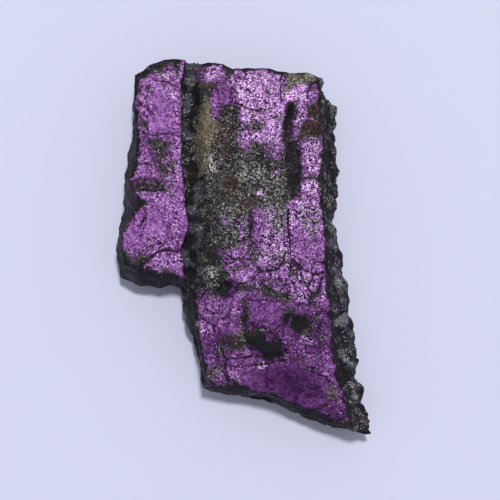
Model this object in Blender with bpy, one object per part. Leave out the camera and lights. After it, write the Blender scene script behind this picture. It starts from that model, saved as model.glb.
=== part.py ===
"""A purpurite specimen: a slab split along its cleavage, lying on its back.

The stone is one solid. Its upper skin, underside and flank share one grid in the shape of an L: the long
main slab, and a shorter side slab to its left, with a rough groove between them. The flank is carried round
the edge from the rim of the face, over the widest line, to the foot.

+X is to the right of the face, +Y along the slab and +Z out of the face. The origin is on the surface the
stone rests on, under the middle of its box.
"""

import bpy
import numpy as np

MM = 0.001  # the shape is worked out in millimetres, and becomes metres in the mesh

# Heights of the faces above the resting surface, in millimetres
MAIN_FACE = 9.0
SIDE_FACE = 8.7
WIDEST_LINE = 4.6
FOOT = 1.1

# Spacing of the grid, and rows of faces down the flank
STEP = 0.86
FLANK_ROWS = 10

# The seven sides, counter-clockwise from the main slab's lower left. rim is the edge of the upper face and girdle
# the widest line below it. inset is how far the foot lies inside the girdle, turn is 1 for a straight slope from
# rim to girdle and less for a steeper one, and ribs is the share of the full rib depth.
LOWER = {
    "rim": [(-5.0, -17.0), (-3.2, -17.5), (-0.2, -17.8), (3.1, -18.6), (6.2, -19.8), (9.1, -21.2), (12.9, -22.6)],
    "girdle": [(-5.1, -17.4), (-2.1, -18.2), (0.6, -18.5), (3.7, -19.2), (6.7, -20.7), (9.7, -22.0), (15.6, -23.1)],
    "inset": 0.5, "turn": 0.6, "ribs": 0.3,
}
RIGHT = {
    "rim": [(12.9, -22.6), (12.1, -19.6), (11.0, -16.2), (10.3, -9.3), (9.8, -1.0), (9.3, 6.4), (9.5, 12.7),
            (9.1, 16.2), (9.3, 18.7), (8.9, 20.3)],
    "girdle": [(15.6, -23.1), (15.3, -20.8), (14.2, -14.6), (13.4, -8.0), (12.4, -3.4), (11.8, 0.3), (11.0, 4.1),
               (11.6, 6.4), (12.0, 10.5), (11.6, 14.2), (11.7, 17.8), (10.5, 19.2), (9.8, 21.2)],
    "inset": 1.3, "turn": 0.9, "ribs": 1.0,
}
TOP = {
    "rim": [(8.9, 20.3), (7.6, 21.0), (5.4, 20.9), (2.7, 21.3), (-1.7, 21.2), (-3.0, 21.8), (-7.6, 22.3)],
    "girdle": [(9.8, 21.2), (7.7, 21.5), (5.5, 21.4), (2.8, 21.8), (-1.7, 21.7), (-2.9, 22.4), (-7.6, 22.6)],
    "inset": 0.9, "turn": 0.5, "ribs": 0.3,
}
SIDE_TOP = {
    "rim": [(-7.6, 22.3), (-8.9, 22.5), (-10.3, 22.1), (-11.8, 21.5), (-13.5, 20.3)],
    "girdle": [(-7.6, 22.6), (-8.6, 23.1), (-10.0, 22.8), (-11.8, 22.1), (-13.9, 21.0)],
    "inset": 0.9, "turn": 0.5, "ribs": 0.3,
}
SIDE_LEFT = {
    "rim": [(-13.5, 20.3), (-13.7, 17.5), (-13.3, 11.0), (-14.3, 7.4), (-13.0, 4.7), (-14.8, 1.4), (-15.1, -1.1),
            (-14.7, -2.8)],
    "girdle": [(-13.9, 21.0), (-13.9, 14.1), (-14.9, 8.6), (-15.0, 5.8), (-15.7, -0.4), (-15.6, -2.6),
               (-15.2, -3.8)],
    "inset": 0.9, "turn": 0.8, "ribs": 0.4,
}
SIDE_LOWER = {
    "rim": [(-14.7, -2.8), (-13.6, -3.2), (-12.1, -3.6), (-10.9, -4.2), (-7.4, -4.4)],
    "girdle": [(-15.2, -3.8), (-13.2, -4.8), (-10.4, -5.1), (-9.1, -4.7), (-8.1, -5.2)],
    "inset": 0.6, "turn": 0.6, "ribs": 0.3,
}
NOTCH = {
    "rim": [(-7.4, -4.4), (-6.5, -5.6), (-6.3, -8.3), (-5.9, -10.8), (-5.2, -15.0), (-5.0, -17.0)],
    "girdle": [(-8.1, -5.2), (-7.3, -8.5), (-6.7, -10.8), (-5.9, -12.3), (-5.1, -17.4)],
    "inset": 0.6, "turn": 0.8, "ribs": 0.3,
}
SIDES = [LOWER, RIGHT, TOP, SIDE_TOP, SIDE_LEFT, SIDE_LOWER, NOTCH]

# Left edge of the groove, from the notch to the top
GROOVE_LINE = [(-7.4, -4.4), (-7.5, -1.6), (-7.0, -0.3), (-7.3, 4.6), (-7.8, 11.4), (-7.8, 17.7), (-7.6, 22.3)]
GROOVE_WIDTH = 1.9
GROOVE_DEPTH = 1.7
LEFT_WALL = 0.25
RIGHT_SHOULDER = 1.2

# Hollows in the upper face: centre, half length and half width, turn in degrees, depth
HOLLOWS = [
    (-2.6, 10.9, 5.5, 1.5, 88.0, 0.45),
    (1.0, 5.4, 5.5, 3.6, 20.0, 0.25),
    (5.6, 14.6, 2.5, 0.6, 88.0, 0.8),
    (5.7, 10.0, 2.9, 1.0, 88.0, 0.5),
    (2.5, -12.4, 2.8, 1.6, -32.0, 0.8),
    (6.0, -10.4, 2.1, 1.6, 20.0, 0.5),
    (-2.2, -5.8, 1.1, 0.9, 0.0, 0.6),
    (-12.4, 6.9, 2.6, 0.7, 4.0, 0.5),
    (-10.8, 11.3, 3.0, 1.2, -58.0, 0.25),
]

# Steps of the cleavage: a line from point to point, with the face to its right lower by so much
LEDGES = [
    ((-1.3, 21.5), (-0.5, 12.0), 0.30),
    ((5.2, 4.5), (5.6, -6.5), 0.22),
    ((6.8, 13.0), (6.9, 7.5), 0.20),
    ((9.0, -8.0), (-5.5, -6.6), 0.15),
    ((9.5, -13.6), (-2.5, -14.0), 0.15),
]

# The lower end of the face falls away towards the tip
FALL_FROM = -12.5
FALL_SLOPE = 0.10

# The ragged right flank stands out in ribs that run down it, and the other flanks are broken in larger facets
RIB_PITCH = 2.0
RIB_LEAN = 0.55
RIB_DEPTH = 0.65
FACET_SIZE = 4.2
FACET_DEPTH = 0.55
FLANK_LUMPS = 0.22

# The underside is flat in an ellipse round this point, and rises to the foot outside it
FLAT_CENTRE = (-0.4, 0.6)
FLAT_HALF_SIZE = (8.0, 13.0)

STONE_COLOUR = (0.23, 0.10, 0.27, 1.0)
STONE_ROUGHNESS = 0.55


def walk(points, fractions):
    """The places on a line of straight runs at these fractions of its length."""
    points = np.asarray(points, float)
    runs = np.linalg.norm(np.diff(points, axis=0), axis=1)
    along = np.concatenate([[0.0], np.cumsum(runs)]) / runs.sum()
    return np.stack([np.interp(fractions, along, points[:, k]) for k in (0, 1)], axis=-1)


def length(points):
    """The length of a line of straight runs."""
    return float(np.linalg.norm(np.diff(np.asarray(points, float), axis=0), axis=1).sum())


def ease(low, high, value):
    """A smooth step from 0 at low to 1 at high."""
    t = np.clip((value - low) / (high - low), 0.0, 1.0)
    return t * t * (3.0 - 2.0 * t)


def dice(x, y, z, seed):
    """A repeatable number from 0 to 1 for each point with whole coordinates, by mixing their bits."""
    mixed = (x.astype(np.int64) * 73856093) ^ (y.astype(np.int64) * 19349663) ^ (z.astype(np.int64) * 83492791)
    mixed = (mixed + seed * 2654435761) & 0xFFFFFFFF
    mixed = ((mixed ^ (mixed >> 15)) * 2246822519) & 0xFFFFFFFF
    mixed = ((mixed ^ (mixed >> 13)) * 3266489917) & 0xFFFFFFFF
    return (mixed ^ (mixed >> 16)).astype(float) / 0xFFFFFFFF


def lumps(x, y, z, size, seed):
    """Smooth noise from -1 to 1: random values on a lattice of this size, blended between its corners."""
    place = np.stack(np.broadcast_arrays(x, y, z)).astype(float) / size
    corner = np.floor(place)
    part = place - corner
    part = part * part * (3.0 - 2.0 * part)
    total = 0.0
    for step in np.ndindex(2, 2, 2):
        shares = [part[k] if step[k] else 1.0 - part[k] for k in range(3)]
        total = total + shares[0] * shares[1] * shares[2] * dice(*(corner[k] + step[k] for k in range(3)), seed)
    return 2.0 * total - 1.0


def plates(x, y, size, seed):
    """Broken facets from -1 to 1: the plane is parted round scattered centres, and each part is a tilted plate."""
    column, row = np.floor(x / size), np.floor(y / size)
    nearest = np.full(np.shape(x), np.inf)
    height = np.zeros(np.shape(x))
    for across in (-1, 0, 1):
        for along in (-1, 0, 1):
            cx, cy = column + across, row + along
            level = np.zeros_like(cx)
            px = (cx + 0.1 + 0.8 * dice(cx, cy, level, seed)) * size - x
            py = (cy + 0.1 + 0.8 * dice(cx, cy, level, seed + 1)) * size - y
            away = px * px + py * py
            tilt = 2.0 * dice(cx, cy, level, seed + 2) - 1.0
            lean = 2.0 * dice(cx, cy, level, seed + 3) - 1.0
            lift = 2.0 * dice(cx, cy, level, seed + 4) - 1.0
            plate = 0.5 * lift + 0.7 * (tilt * px + lean * py) / size
            height = np.where(away < nearest, plate, height)
            nearest = np.minimum(nearest, away)
    return height


def groove_depth(x, y):
    """How deep the groove is here: a steep wall on its left line, a flat floor and a round right shoulder."""
    line = np.asarray(GROOVE_LINE)
    across = x - np.interp(y, line[:, 1], line[:, 0])
    floor = ease(0.0, LEFT_WALL, across) * (1.0 - ease(GROOVE_WIDTH - 0.3, GROOVE_WIDTH + RIGHT_SHOULDER, across))
    return GROOVE_DEPTH * floor * ease(line[0, 1] - 3.5, line[0, 1] - 1.0, y)


def hollow_depth(x, y):
    """The sum of the hollows: each is deepest in its ellipse and eases out to nothing at its edge."""
    depth = 0.0
    for cx, cy, half_length, half_width, turn, deepest in HOLLOWS:
        cos, sin = np.cos(np.radians(turn)), np.sin(np.radians(turn))
        u = ((x - cx) * cos + (y - cy) * sin) / half_length
        v = ((y - cy) * cos - (x - cx) * sin) / half_width
        depth = depth + deepest * (1.0 - ease(0.55, 1.15, np.hypot(u, v)))
    return depth


def ledge_drop(x, y):
    """The sum of the cleavage steps: the face drops to the right of each line, and the step runs out past its ends."""
    drop = 0.0
    for start, end, height in LEDGES:
        run = np.subtract(end, start)
        length = np.hypot(*run)
        along = ((x - start[0]) * run[0] + (y - start[1]) * run[1]) / length
        right = ((x - start[0]) * run[1] - (y - start[1]) * run[0]) / length
        ends = ease(-1.0, 1.0, along) * (1.0 - ease(length - 1.0, length + 1.0, along))
        drop = drop + height * ends * ease(0.0, 0.4, right) * (1.0 - ease(3.0, 6.0, right))
    return drop


def face_height(x, y):
    """The upper face: two levels with the groove between, less hollows and steps, with broken plates and lumps."""
    line = np.asarray(GROOVE_LINE)
    on_main = ease(-0.1, 0.1, x - np.interp(y, line[:, 1], line[:, 0]))
    level = SIDE_FACE + (MAIN_FACE - SIDE_FACE) * on_main
    fall = FALL_SLOPE * np.maximum(FALL_FROM - y, 0.0)
    grain = 0.16 * plates(x, y, 3.1, 11) + 0.12 * lumps(x, y, 0.0, 1.9, 21)
    rough = 0.25 * groove_depth(x, y) / GROOVE_DEPTH * lumps(x, y, 0.0, 1.2, 31)
    return level - fall - groove_depth(x, y) - hollow_depth(x, y) - ledge_drop(x, y) + grain + rough


def under_height(x, y):
    """The underside: exactly flat inside the resting ellipse, and rising with lumps to the foot outside it."""
    away = np.hypot((x - FLAT_CENTRE[0]) / FLAT_HALF_SIZE[0], (y - FLAT_CENTRE[1]) / FLAT_HALF_SIZE[1])
    rise = ease(1.0, 1.7, away)
    return rise * (FOOT + 0.35 * plates(x, y, 3.6, 41))


def crowded(span, step, places):
    """Fractions from 0 to 1 about a step apart, with more of them near these places, by adding up a density."""
    at = np.linspace(0.0, span, 2001)
    density = np.ones_like(at)
    for place in places:
        density += 2.0 * np.exp(-(((at - place) / 0.5) ** 2))
    total = np.concatenate([[0.0], np.cumsum(0.5 * (density[1:] + density[:-1]))])
    count = int(round(total[-1] * (at[1] - at[0]) / step))
    return np.interp(np.linspace(0.0, total[-1], count + 1), total, at) / span


def patch(u, v, bottom, right, top, left):
    """Points inside four edge lines, by blending across and along them and taking the corners' share off."""
    u, v = u[None, :, None], v[:, None, None]
    across = (1.0 - u) * left[:, None] + u * right[:, None]
    along = (1.0 - v) * bottom[None] + v * top[None]
    corners = (1.0 - v) * ((1.0 - u) * bottom[0] + u * bottom[-1]) + v * ((1.0 - u) * top[0] + u * top[-1])
    return across + along - corners


class Layout:
    """The grid in the shape of an L: the rows and columns of the two slabs, and the loop round their edge.

    The loop runs counter-clockwise from the main slab's lower left. Its seven sides are named in SIDES.
    """

    def __init__(self, step):
        notch, side = length(NOTCH["rim"]), length(GROOVE_LINE)
        self.side_columns = crowded(length(SIDE_LOWER["rim"]), step, [length(SIDE_LOWER["rim"])])
        self.main_columns = crowded(length(TOP["rim"]), step, [0.0, GROOVE_WIDTH])
        self.notch_rows = crowded(notch, step, [])
        self.side_rows = crowded(side, step, [])
        share = notch / (notch + side)
        self.main_rows = np.concatenate([share * self.notch_rows, share + (1.0 - share) * self.side_rows[1:]])
        self.column = len(self.side_columns) - 1
        self.row = len(self.notch_rows) - 1
        self.last_column = self.column + len(self.main_columns) - 1
        self.last_row = len(self.main_rows) - 1
        self.fractions = [self.main_columns, self.main_rows, 1.0 - self.main_columns[::-1],
                          1.0 - self.side_columns[::-1], 1.0 - self.side_rows[::-1], self.side_columns,
                          1.0 - self.notch_rows[::-1]]
        self.starts = np.cumsum([0] + [len(part) - 1 for part in self.fractions])

    def places(self):
        """Row and column in the grid of each point of the loop."""
        rows, columns = np.arange(self.last_row + 1), np.arange(self.last_column + 1)
        runs = [
            (0, columns[self.column:-1]),
            (rows[:-1], self.last_column),
            (self.last_row, columns[:self.column:-1]),
            (self.last_row, columns[self.column:0:-1]),
            (rows[:self.row:-1], 0),
            (self.row, columns[:self.column]),
            (rows[self.row:0:-1], self.column),
        ]
        return np.concatenate([np.stack(np.broadcast_arrays(*run), axis=-1) for run in runs])

    def around(self, line):
        """The loop's points in plan, on the edge line of each side that has this name: rim or girdle."""
        return np.concatenate([walk(side[line], part)[:-1] for side, part in zip(SIDES, self.fractions)])

    def each(self, key):
        """One value of each side for every point of the loop, eased over the corners."""
        values = np.repeat([side[key] for side in SIDES], np.diff(self.starts))
        return sum(np.roll(values, shift) for shift in range(-2, 3)) / 5.0

    def fill(self, loop):
        """The grid's points in plan, from the loop and the groove's line drawn between its two ends."""
        closed = np.concatenate([loop, loop[:1]])
        lower, right, top, side_top, side_left, side_lower, notch = [
            closed[first:last + 1] for first, last in zip(self.starts[:-1], self.starts[1:])
        ]
        groove = walk(GROOVE_LINE, self.side_rows)
        rest = self.side_rows[:, None]
        groove = groove + (1.0 - rest) * (notch[0] - groove[0]) + rest * (top[-1] - groove[-1])
        points = np.full((self.last_row + 1, self.last_column + 1, 2), np.nan)
        wall = np.concatenate([notch[::-1], groove[1:]])
        points[:, self.column:] = patch(self.main_columns, self.main_rows, lower, right, top[::-1], wall)
        points[self.row:, :self.column + 1] = patch(self.side_columns, self.side_rows, side_lower, groove,
                                                    side_top[::-1], side_left[::-1])
        return points


def outward(loop):
    """Unit vectors that point out of a counter-clockwise loop in plan, square to it."""
    run = np.roll(loop, -2, axis=0) - np.roll(loop, 2, axis=0)
    square = np.stack([run[:, 1], -run[:, 0]], axis=-1)
    return square / np.linalg.norm(square, axis=1, keepdims=True)


def flank(layout, rim, girdle, foot):
    """Rings of points from the rim over the widest line to the foot, broken into ribs, facets and lumps.

    Each ring lies a share of the way down. It keeps to the slope given by turn above the widest line, curves in
    under it, and is then moved outwards by the broken surface, which fades at the rim and at the foot.
    """
    square = outward(girdle[:, :2])
    turn, ribbed = layout.each("turn")[:, None], layout.each("ribs")
    travelled = np.concatenate([[0.0], np.cumsum(np.linalg.norm(np.diff(girdle[:, :2], axis=0), axis=1))])
    rings = []
    for down in np.arange(1, FLANK_ROWS) / FLANK_ROWS:
        if down < 0.5:
            plan = rim[:, :2] + (girdle[:, :2] - rim[:, :2]) * (2.0 * down) ** turn
            height = rim[:, 2] + (girdle[:, 2] - rim[:, 2]) * 2.0 * down
        else:
            plan = girdle[:, :2] + (foot[:, :2] - girdle[:, :2]) * (2.0 * down - 1.0) ** 2
            height = girdle[:, 2] + (foot[:, 2] - girdle[:, 2]) * (2.0 * down - 1.0)
        ribs = ribbed * RIB_DEPTH * (plates(travelled, RIB_LEAN * height, RIB_PITCH, 71) - 0.6)
        faces = (1.0 - ribbed) * FACET_DEPTH * plates(travelled, height, FACET_SIZE, 81)
        bump = ribs + faces + FLANK_LUMPS * lumps(plan[:, 0], plan[:, 1], height, 1.6, 51)
        rings.append(np.column_stack([plan + square * (np.sin(np.pi * down) * bump)[:, None], height]))
    return rings


def quads(a, b, c, d):
    """Four arrays of corners as one list of four-sided faces."""
    return np.stack(np.broadcast_arrays(a, b, c, d), axis=-1).reshape(-1, 4)


def stone():
    """Points and faces of the whole stone: the upper skin, the underside and the flank between their edges."""
    layout = Layout(STEP)
    row, column = layout.places().T
    face = layout.fill(layout.around("rim"))
    face = np.dstack([face, face_height(face[..., 0], face[..., 1])])
    girdle = layout.around("girdle")
    foot = girdle - outward(girdle) * layout.each("inset")[:, None]
    under = layout.fill(foot)
    under = np.dstack([under, under_height(under[..., 0], under[..., 1])])
    widest = WIDEST_LINE + 0.5 * lumps(girdle[:, 0], girdle[:, 1], 0.0, 3.0, 61)
    rings = flank(layout, face[row, column], np.column_stack([girdle, widest]), under[row, column])

    kept = ~np.isnan(face[..., 0])
    number = np.cumsum(kept).reshape(kept.shape) - 1
    count, around = int(kept.sum()), len(row)
    points = np.concatenate([face[kept], *rings, under[kept]])
    lower = number + count + around * len(rings)

    cell = kept[:-1, :-1] & kept[:-1, 1:] & kept[1:, 1:] & kept[1:, :-1]
    upper_faces = quads(number[:-1, :-1][cell], number[:-1, 1:][cell], number[1:, 1:][cell], number[1:, :-1][cell])
    lower_faces = quads(lower[:-1, :-1][cell], lower[1:, :-1][cell], lower[1:, 1:][cell], lower[:-1, 1:][cell])
    ring = np.stack([number[row, column]]
                    + [count + around * k + np.arange(around) for k in range(len(rings))]
                    + [lower[row, column]])
    after = np.roll(ring, -1, axis=1)
    flank_faces = quads(ring[:-1], ring[1:], after[1:], after[:-1])
    return points * MM, np.concatenate([upper_faces, flank_faces, lower_faces])


def stone_material():
    """Dull purple stone, between the colour of its face and the dark of its broken flank."""
    material = bpy.data.materials.new("purpurite")
    material.use_nodes = True
    shader = material.node_tree.nodes["Principled BSDF"]
    shader.inputs["Base Color"].default_value = STONE_COLOUR
    shader.inputs["Roughness"].default_value = STONE_ROUGHNESS
    shader.inputs["Metallic"].default_value = 0.0
    return material


def main():
    for thing in list(bpy.data.objects):
        bpy.data.objects.remove(thing, do_unlink=True)
    points, faces = stone()
    mesh = bpy.data.meshes.new("purpurite")
    mesh.from_pydata(points.tolist(), [], faces.tolist())
    mesh.materials.append(stone_material())
    mesh.validate()
    specimen = bpy.data.objects.new("purpurite", mesh)
    bpy.context.scene.collection.objects.link(specimen)


main()
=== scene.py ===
"""The looks of a purpurite specimen: a purple cleavage slab with dark crust, a ragged flank and grains.

The stone is drawn again on a finer grid than its solid, from the same named shapes, and carries the marks of the
real one as attributes: where the crust covers the purple, where it is rusty or tan, and where it glitters. One
material turns those marks into colour, roughness and fine relief. Two more pieces are the quartz and dark grains
that sit in the broken flank and in the groove.

Lengths inside the shape functions are millimetres, and become metres in the meshes. +X is to the right of the
face, +Y along the slab and +Z out of the face.
"""

import bpy
import numpy as np
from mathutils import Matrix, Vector


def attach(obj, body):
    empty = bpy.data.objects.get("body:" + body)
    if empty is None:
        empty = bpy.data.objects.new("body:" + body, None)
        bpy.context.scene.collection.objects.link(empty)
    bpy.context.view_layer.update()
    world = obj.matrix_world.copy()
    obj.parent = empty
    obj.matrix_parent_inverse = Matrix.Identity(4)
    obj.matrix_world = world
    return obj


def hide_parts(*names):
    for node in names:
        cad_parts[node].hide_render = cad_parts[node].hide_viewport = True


bl_info = {
    "name": "Purpurite specimen",
    "version": (1, 0, 0),
    "blender": (4, 5, 0),
    "location": "View3D > Sidebar > Specimen",
    "description": "Builds a purpurite cleavage slab with its crust, quartz grains and studio",
    "category": "Add Mesh",
}

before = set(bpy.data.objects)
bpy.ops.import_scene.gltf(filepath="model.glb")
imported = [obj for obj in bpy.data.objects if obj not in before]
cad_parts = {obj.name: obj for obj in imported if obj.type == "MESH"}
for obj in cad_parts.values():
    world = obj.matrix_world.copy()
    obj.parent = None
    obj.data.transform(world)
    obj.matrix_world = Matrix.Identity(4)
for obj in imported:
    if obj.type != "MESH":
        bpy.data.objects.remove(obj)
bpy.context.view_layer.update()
BODY = "root"
NODE = "purpurite"
MM = 0.001

# Heights of the faces above the resting surface, in millimetres
MAIN_FACE = 9.0
SIDE_FACE = 8.7
WIDEST_LINE = 4.6
FOOT = 1.1

# The seven sides, counter-clockwise from the main slab's lower left. rim is the edge of the upper face and girdle
# the widest line below it. inset is how far the foot lies inside the girdle, turn is 1 for a straight slope from
# rim to girdle and less for a steeper one, and ribs is the share of the full rib depth.
LOWER = {
    "rim": [(-5.0, -17.0), (-3.2, -17.5), (-0.2, -17.8), (3.1, -18.6), (6.2, -19.8), (9.1, -21.2), (12.9, -22.6)],
    "girdle": [(-5.1, -17.4), (-2.1, -18.2), (0.6, -18.5), (3.7, -19.2), (6.7, -20.7), (9.7, -22.0),
               (15.6, -23.1)],
    "inset": 0.5, "turn": 0.6, "ribs": 0.3,
}
RIGHT = {
    "rim": [(12.9, -22.6), (12.1, -19.6), (11.0, -16.2), (10.3, -9.3), (9.8, -1.0), (9.3, 6.4), (9.5, 12.7),
            (9.1, 16.2), (9.3, 18.7), (8.9, 20.3)],
    "girdle": [(15.6, -23.1), (15.3, -20.8), (14.45, -17.3), (14.2, -14.6), (13.4, -8.0), (12.4, -3.4),
               (12.0, 0.3), (11.3, 3.6), (11.6, 6.4), (12.0, 10.5), (11.6, 14.2), (11.7, 17.8), (10.5, 19.2),
               (9.8, 21.2)],
    "inset": 1.3, "turn": 0.9, "ribs": 1.0,
}
TOP = {
    "rim": [(8.9, 20.3), (7.6, 21.0), (5.4, 20.9), (2.7, 21.5), (-1.7, 21.4), (-3.0, 22.0), (-7.6, 22.5)],
    "girdle": [(9.8, 21.2), (7.7, 21.5), (5.5, 21.4), (2.8, 22.0), (-1.7, 21.9), (-2.9, 22.6), (-7.6, 22.8)],
    "inset": 0.9, "turn": 0.5, "ribs": 0.3,
}
SIDE_TOP = {
    "rim": [(-7.6, 22.5), (-8.9, 22.7), (-10.3, 22.4), (-11.8, 21.8), (-13.5, 20.5)],
    "girdle": [(-7.6, 22.8), (-8.6, 23.3), (-10.0, 23.1), (-11.8, 22.4), (-13.9, 21.2)],
    "inset": 0.9, "turn": 0.5, "ribs": 0.3,
}
SIDE_LEFT = {
    "rim": [(-13.5, 20.5), (-13.7, 17.5), (-13.3, 11.0), (-14.3, 7.4), (-13.0, 4.7), (-14.8, 1.4), (-15.1, -1.1),
            (-14.7, -2.8)],
    "girdle": [(-13.9, 21.2), (-13.9, 14.1), (-14.9, 8.6), (-15.0, 5.8), (-15.7, -0.4), (-15.6, -2.6),
               (-15.2, -3.8)],
    "inset": 0.9, "turn": 0.8, "ribs": 0.4,
}
SIDE_LOWER = {
    "rim": [(-14.7, -2.8), (-13.6, -3.2), (-12.1, -3.6), (-10.9, -4.2), (-7.4, -4.4)],
    "girdle": [(-15.2, -3.8), (-13.2, -4.8), (-10.4, -5.1), (-9.1, -4.7), (-8.1, -5.2)],
    "inset": 0.6, "turn": 0.6, "ribs": 0.3,
}
NOTCH = {
    "rim": [(-7.4, -4.4), (-6.5, -5.6), (-6.3, -8.3), (-5.9, -10.8), (-5.2, -15.0), (-5.0, -17.0)],
    "girdle": [(-8.1, -5.2), (-7.3, -8.5), (-6.7, -10.8), (-5.9, -12.3), (-5.1, -17.4)],
    "inset": 0.6, "turn": 0.8, "ribs": 0.3,
}
SIDES = [LOWER, RIGHT, TOP, SIDE_TOP, SIDE_LEFT, SIDE_LOWER, NOTCH]

# Left edge of the groove, from the notch to the top
GROOVE_LINE = [(-7.4, -4.4), (-7.6, -3.6), (-7.7, -1.8), (-8.0, -0.9), (-7.7, -0.1), (-7.2, 1.2), (-7.2, 2.3),
               (-7.5, 5.4), (-7.8, 9.1), (-8.0, 10.5), (-7.9, 14.0), (-8.0, 17.6), (-8.1, 19.8), (-7.7, 21.2),
               (-7.6, 22.5)]
GROOVE_WIDTH = 1.9
GROOVE_DEPTH = 1.7
LEFT_WALL = 0.25
RIGHT_SHOULDER = 1.2

# Hollows in the upper face: centre, half length and half width, turn in degrees, depth
HOLLOWS = [
    (-2.6, 10.9, 5.5, 1.5, 88.0, 0.45),
    (1.0, 5.4, 5.5, 3.6, 20.0, 0.25),
    (5.3, 14.7, 2.5, 0.55, 84.0, 0.9),
    (5.7, 10.0, 2.9, 1.0, 88.0, 0.5),
    (2.5, -12.4, 2.8, 1.6, -32.0, 0.8),
    (6.0, -10.4, 2.1, 1.6, 20.0, 0.5),
    (-2.2, -5.8, 1.1, 0.9, 0.0, 0.6),
    (-12.4, 6.9, 2.6, 0.7, 4.0, 0.5),
    (-10.8, 11.3, 3.0, 1.2, -58.0, 0.25),
]

# Steps of the cleavage: a line from point to point, with the face to its right lower by so much
LEDGES = [
    ((-1.3, 21.5), (-0.5, 12.0), 0.30),
    ((5.2, 4.5), (5.6, -6.5), 0.22),
    ((6.8, 13.0), (6.9, 7.5), 0.20),
    ((9.0, -8.0), (-5.5, -6.6), 0.15),
    ((9.5, -13.6), (-2.5, -14.0), 0.15),
]

# The lower end of the face falls away towards the tip
FALL_FROM = -12.5
FALL_SLOPE = 0.10

# The ragged right flank stands out in ribs that run down it, and the other flanks are broken in larger facets
RIB_PITCH = 2.0
RIB_LEAN = 0.55
RIB_DEPTH = 0.65
FACET_SIZE = 4.2
FACET_DEPTH = 0.55
FLANK_LUMPS = 0.22

# The underside is flat in an ellipse round this point, and rises to the foot outside it
FLAT_CENTRE = (-0.4, 0.6)
FLAT_HALF_SIZE = (8.0, 13.0)

# Rounded pebbles on the floor of the groove: centre, half length and half width, turn in degrees, height
PEBBLES = [
    (-6.8, 21.4, 0.8, 0.6, 20.0, 0.5),
    (-7.0, 18.6, 0.9, 0.6, 70.0, 0.5),
    (-6.9, 15.3, 0.6, 0.5, 120.0, 0.6),
    (-7.0, 12.9, 0.5, 0.4, 0.0, 0.5),
    (-6.5, 8.4, 0.8, 0.35, -5.0, 0.5),
    (-6.4, 6.4, 0.6, 0.4, 30.0, 0.4),
    (-6.4, 4.4, 0.5, 0.4, 60.0, 0.4),
    (-6.0, 2.4, 0.6, 0.5, 60.0, 0.6),
    (-6.4, 1.2, 0.6, 0.5, 100.0, 0.6),
    (-6.2, -0.5, 0.7, 0.5, 10.0, 0.8),
    (-6.5, -2.7, 0.6, 0.45, 150.0, 0.7),
]

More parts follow.
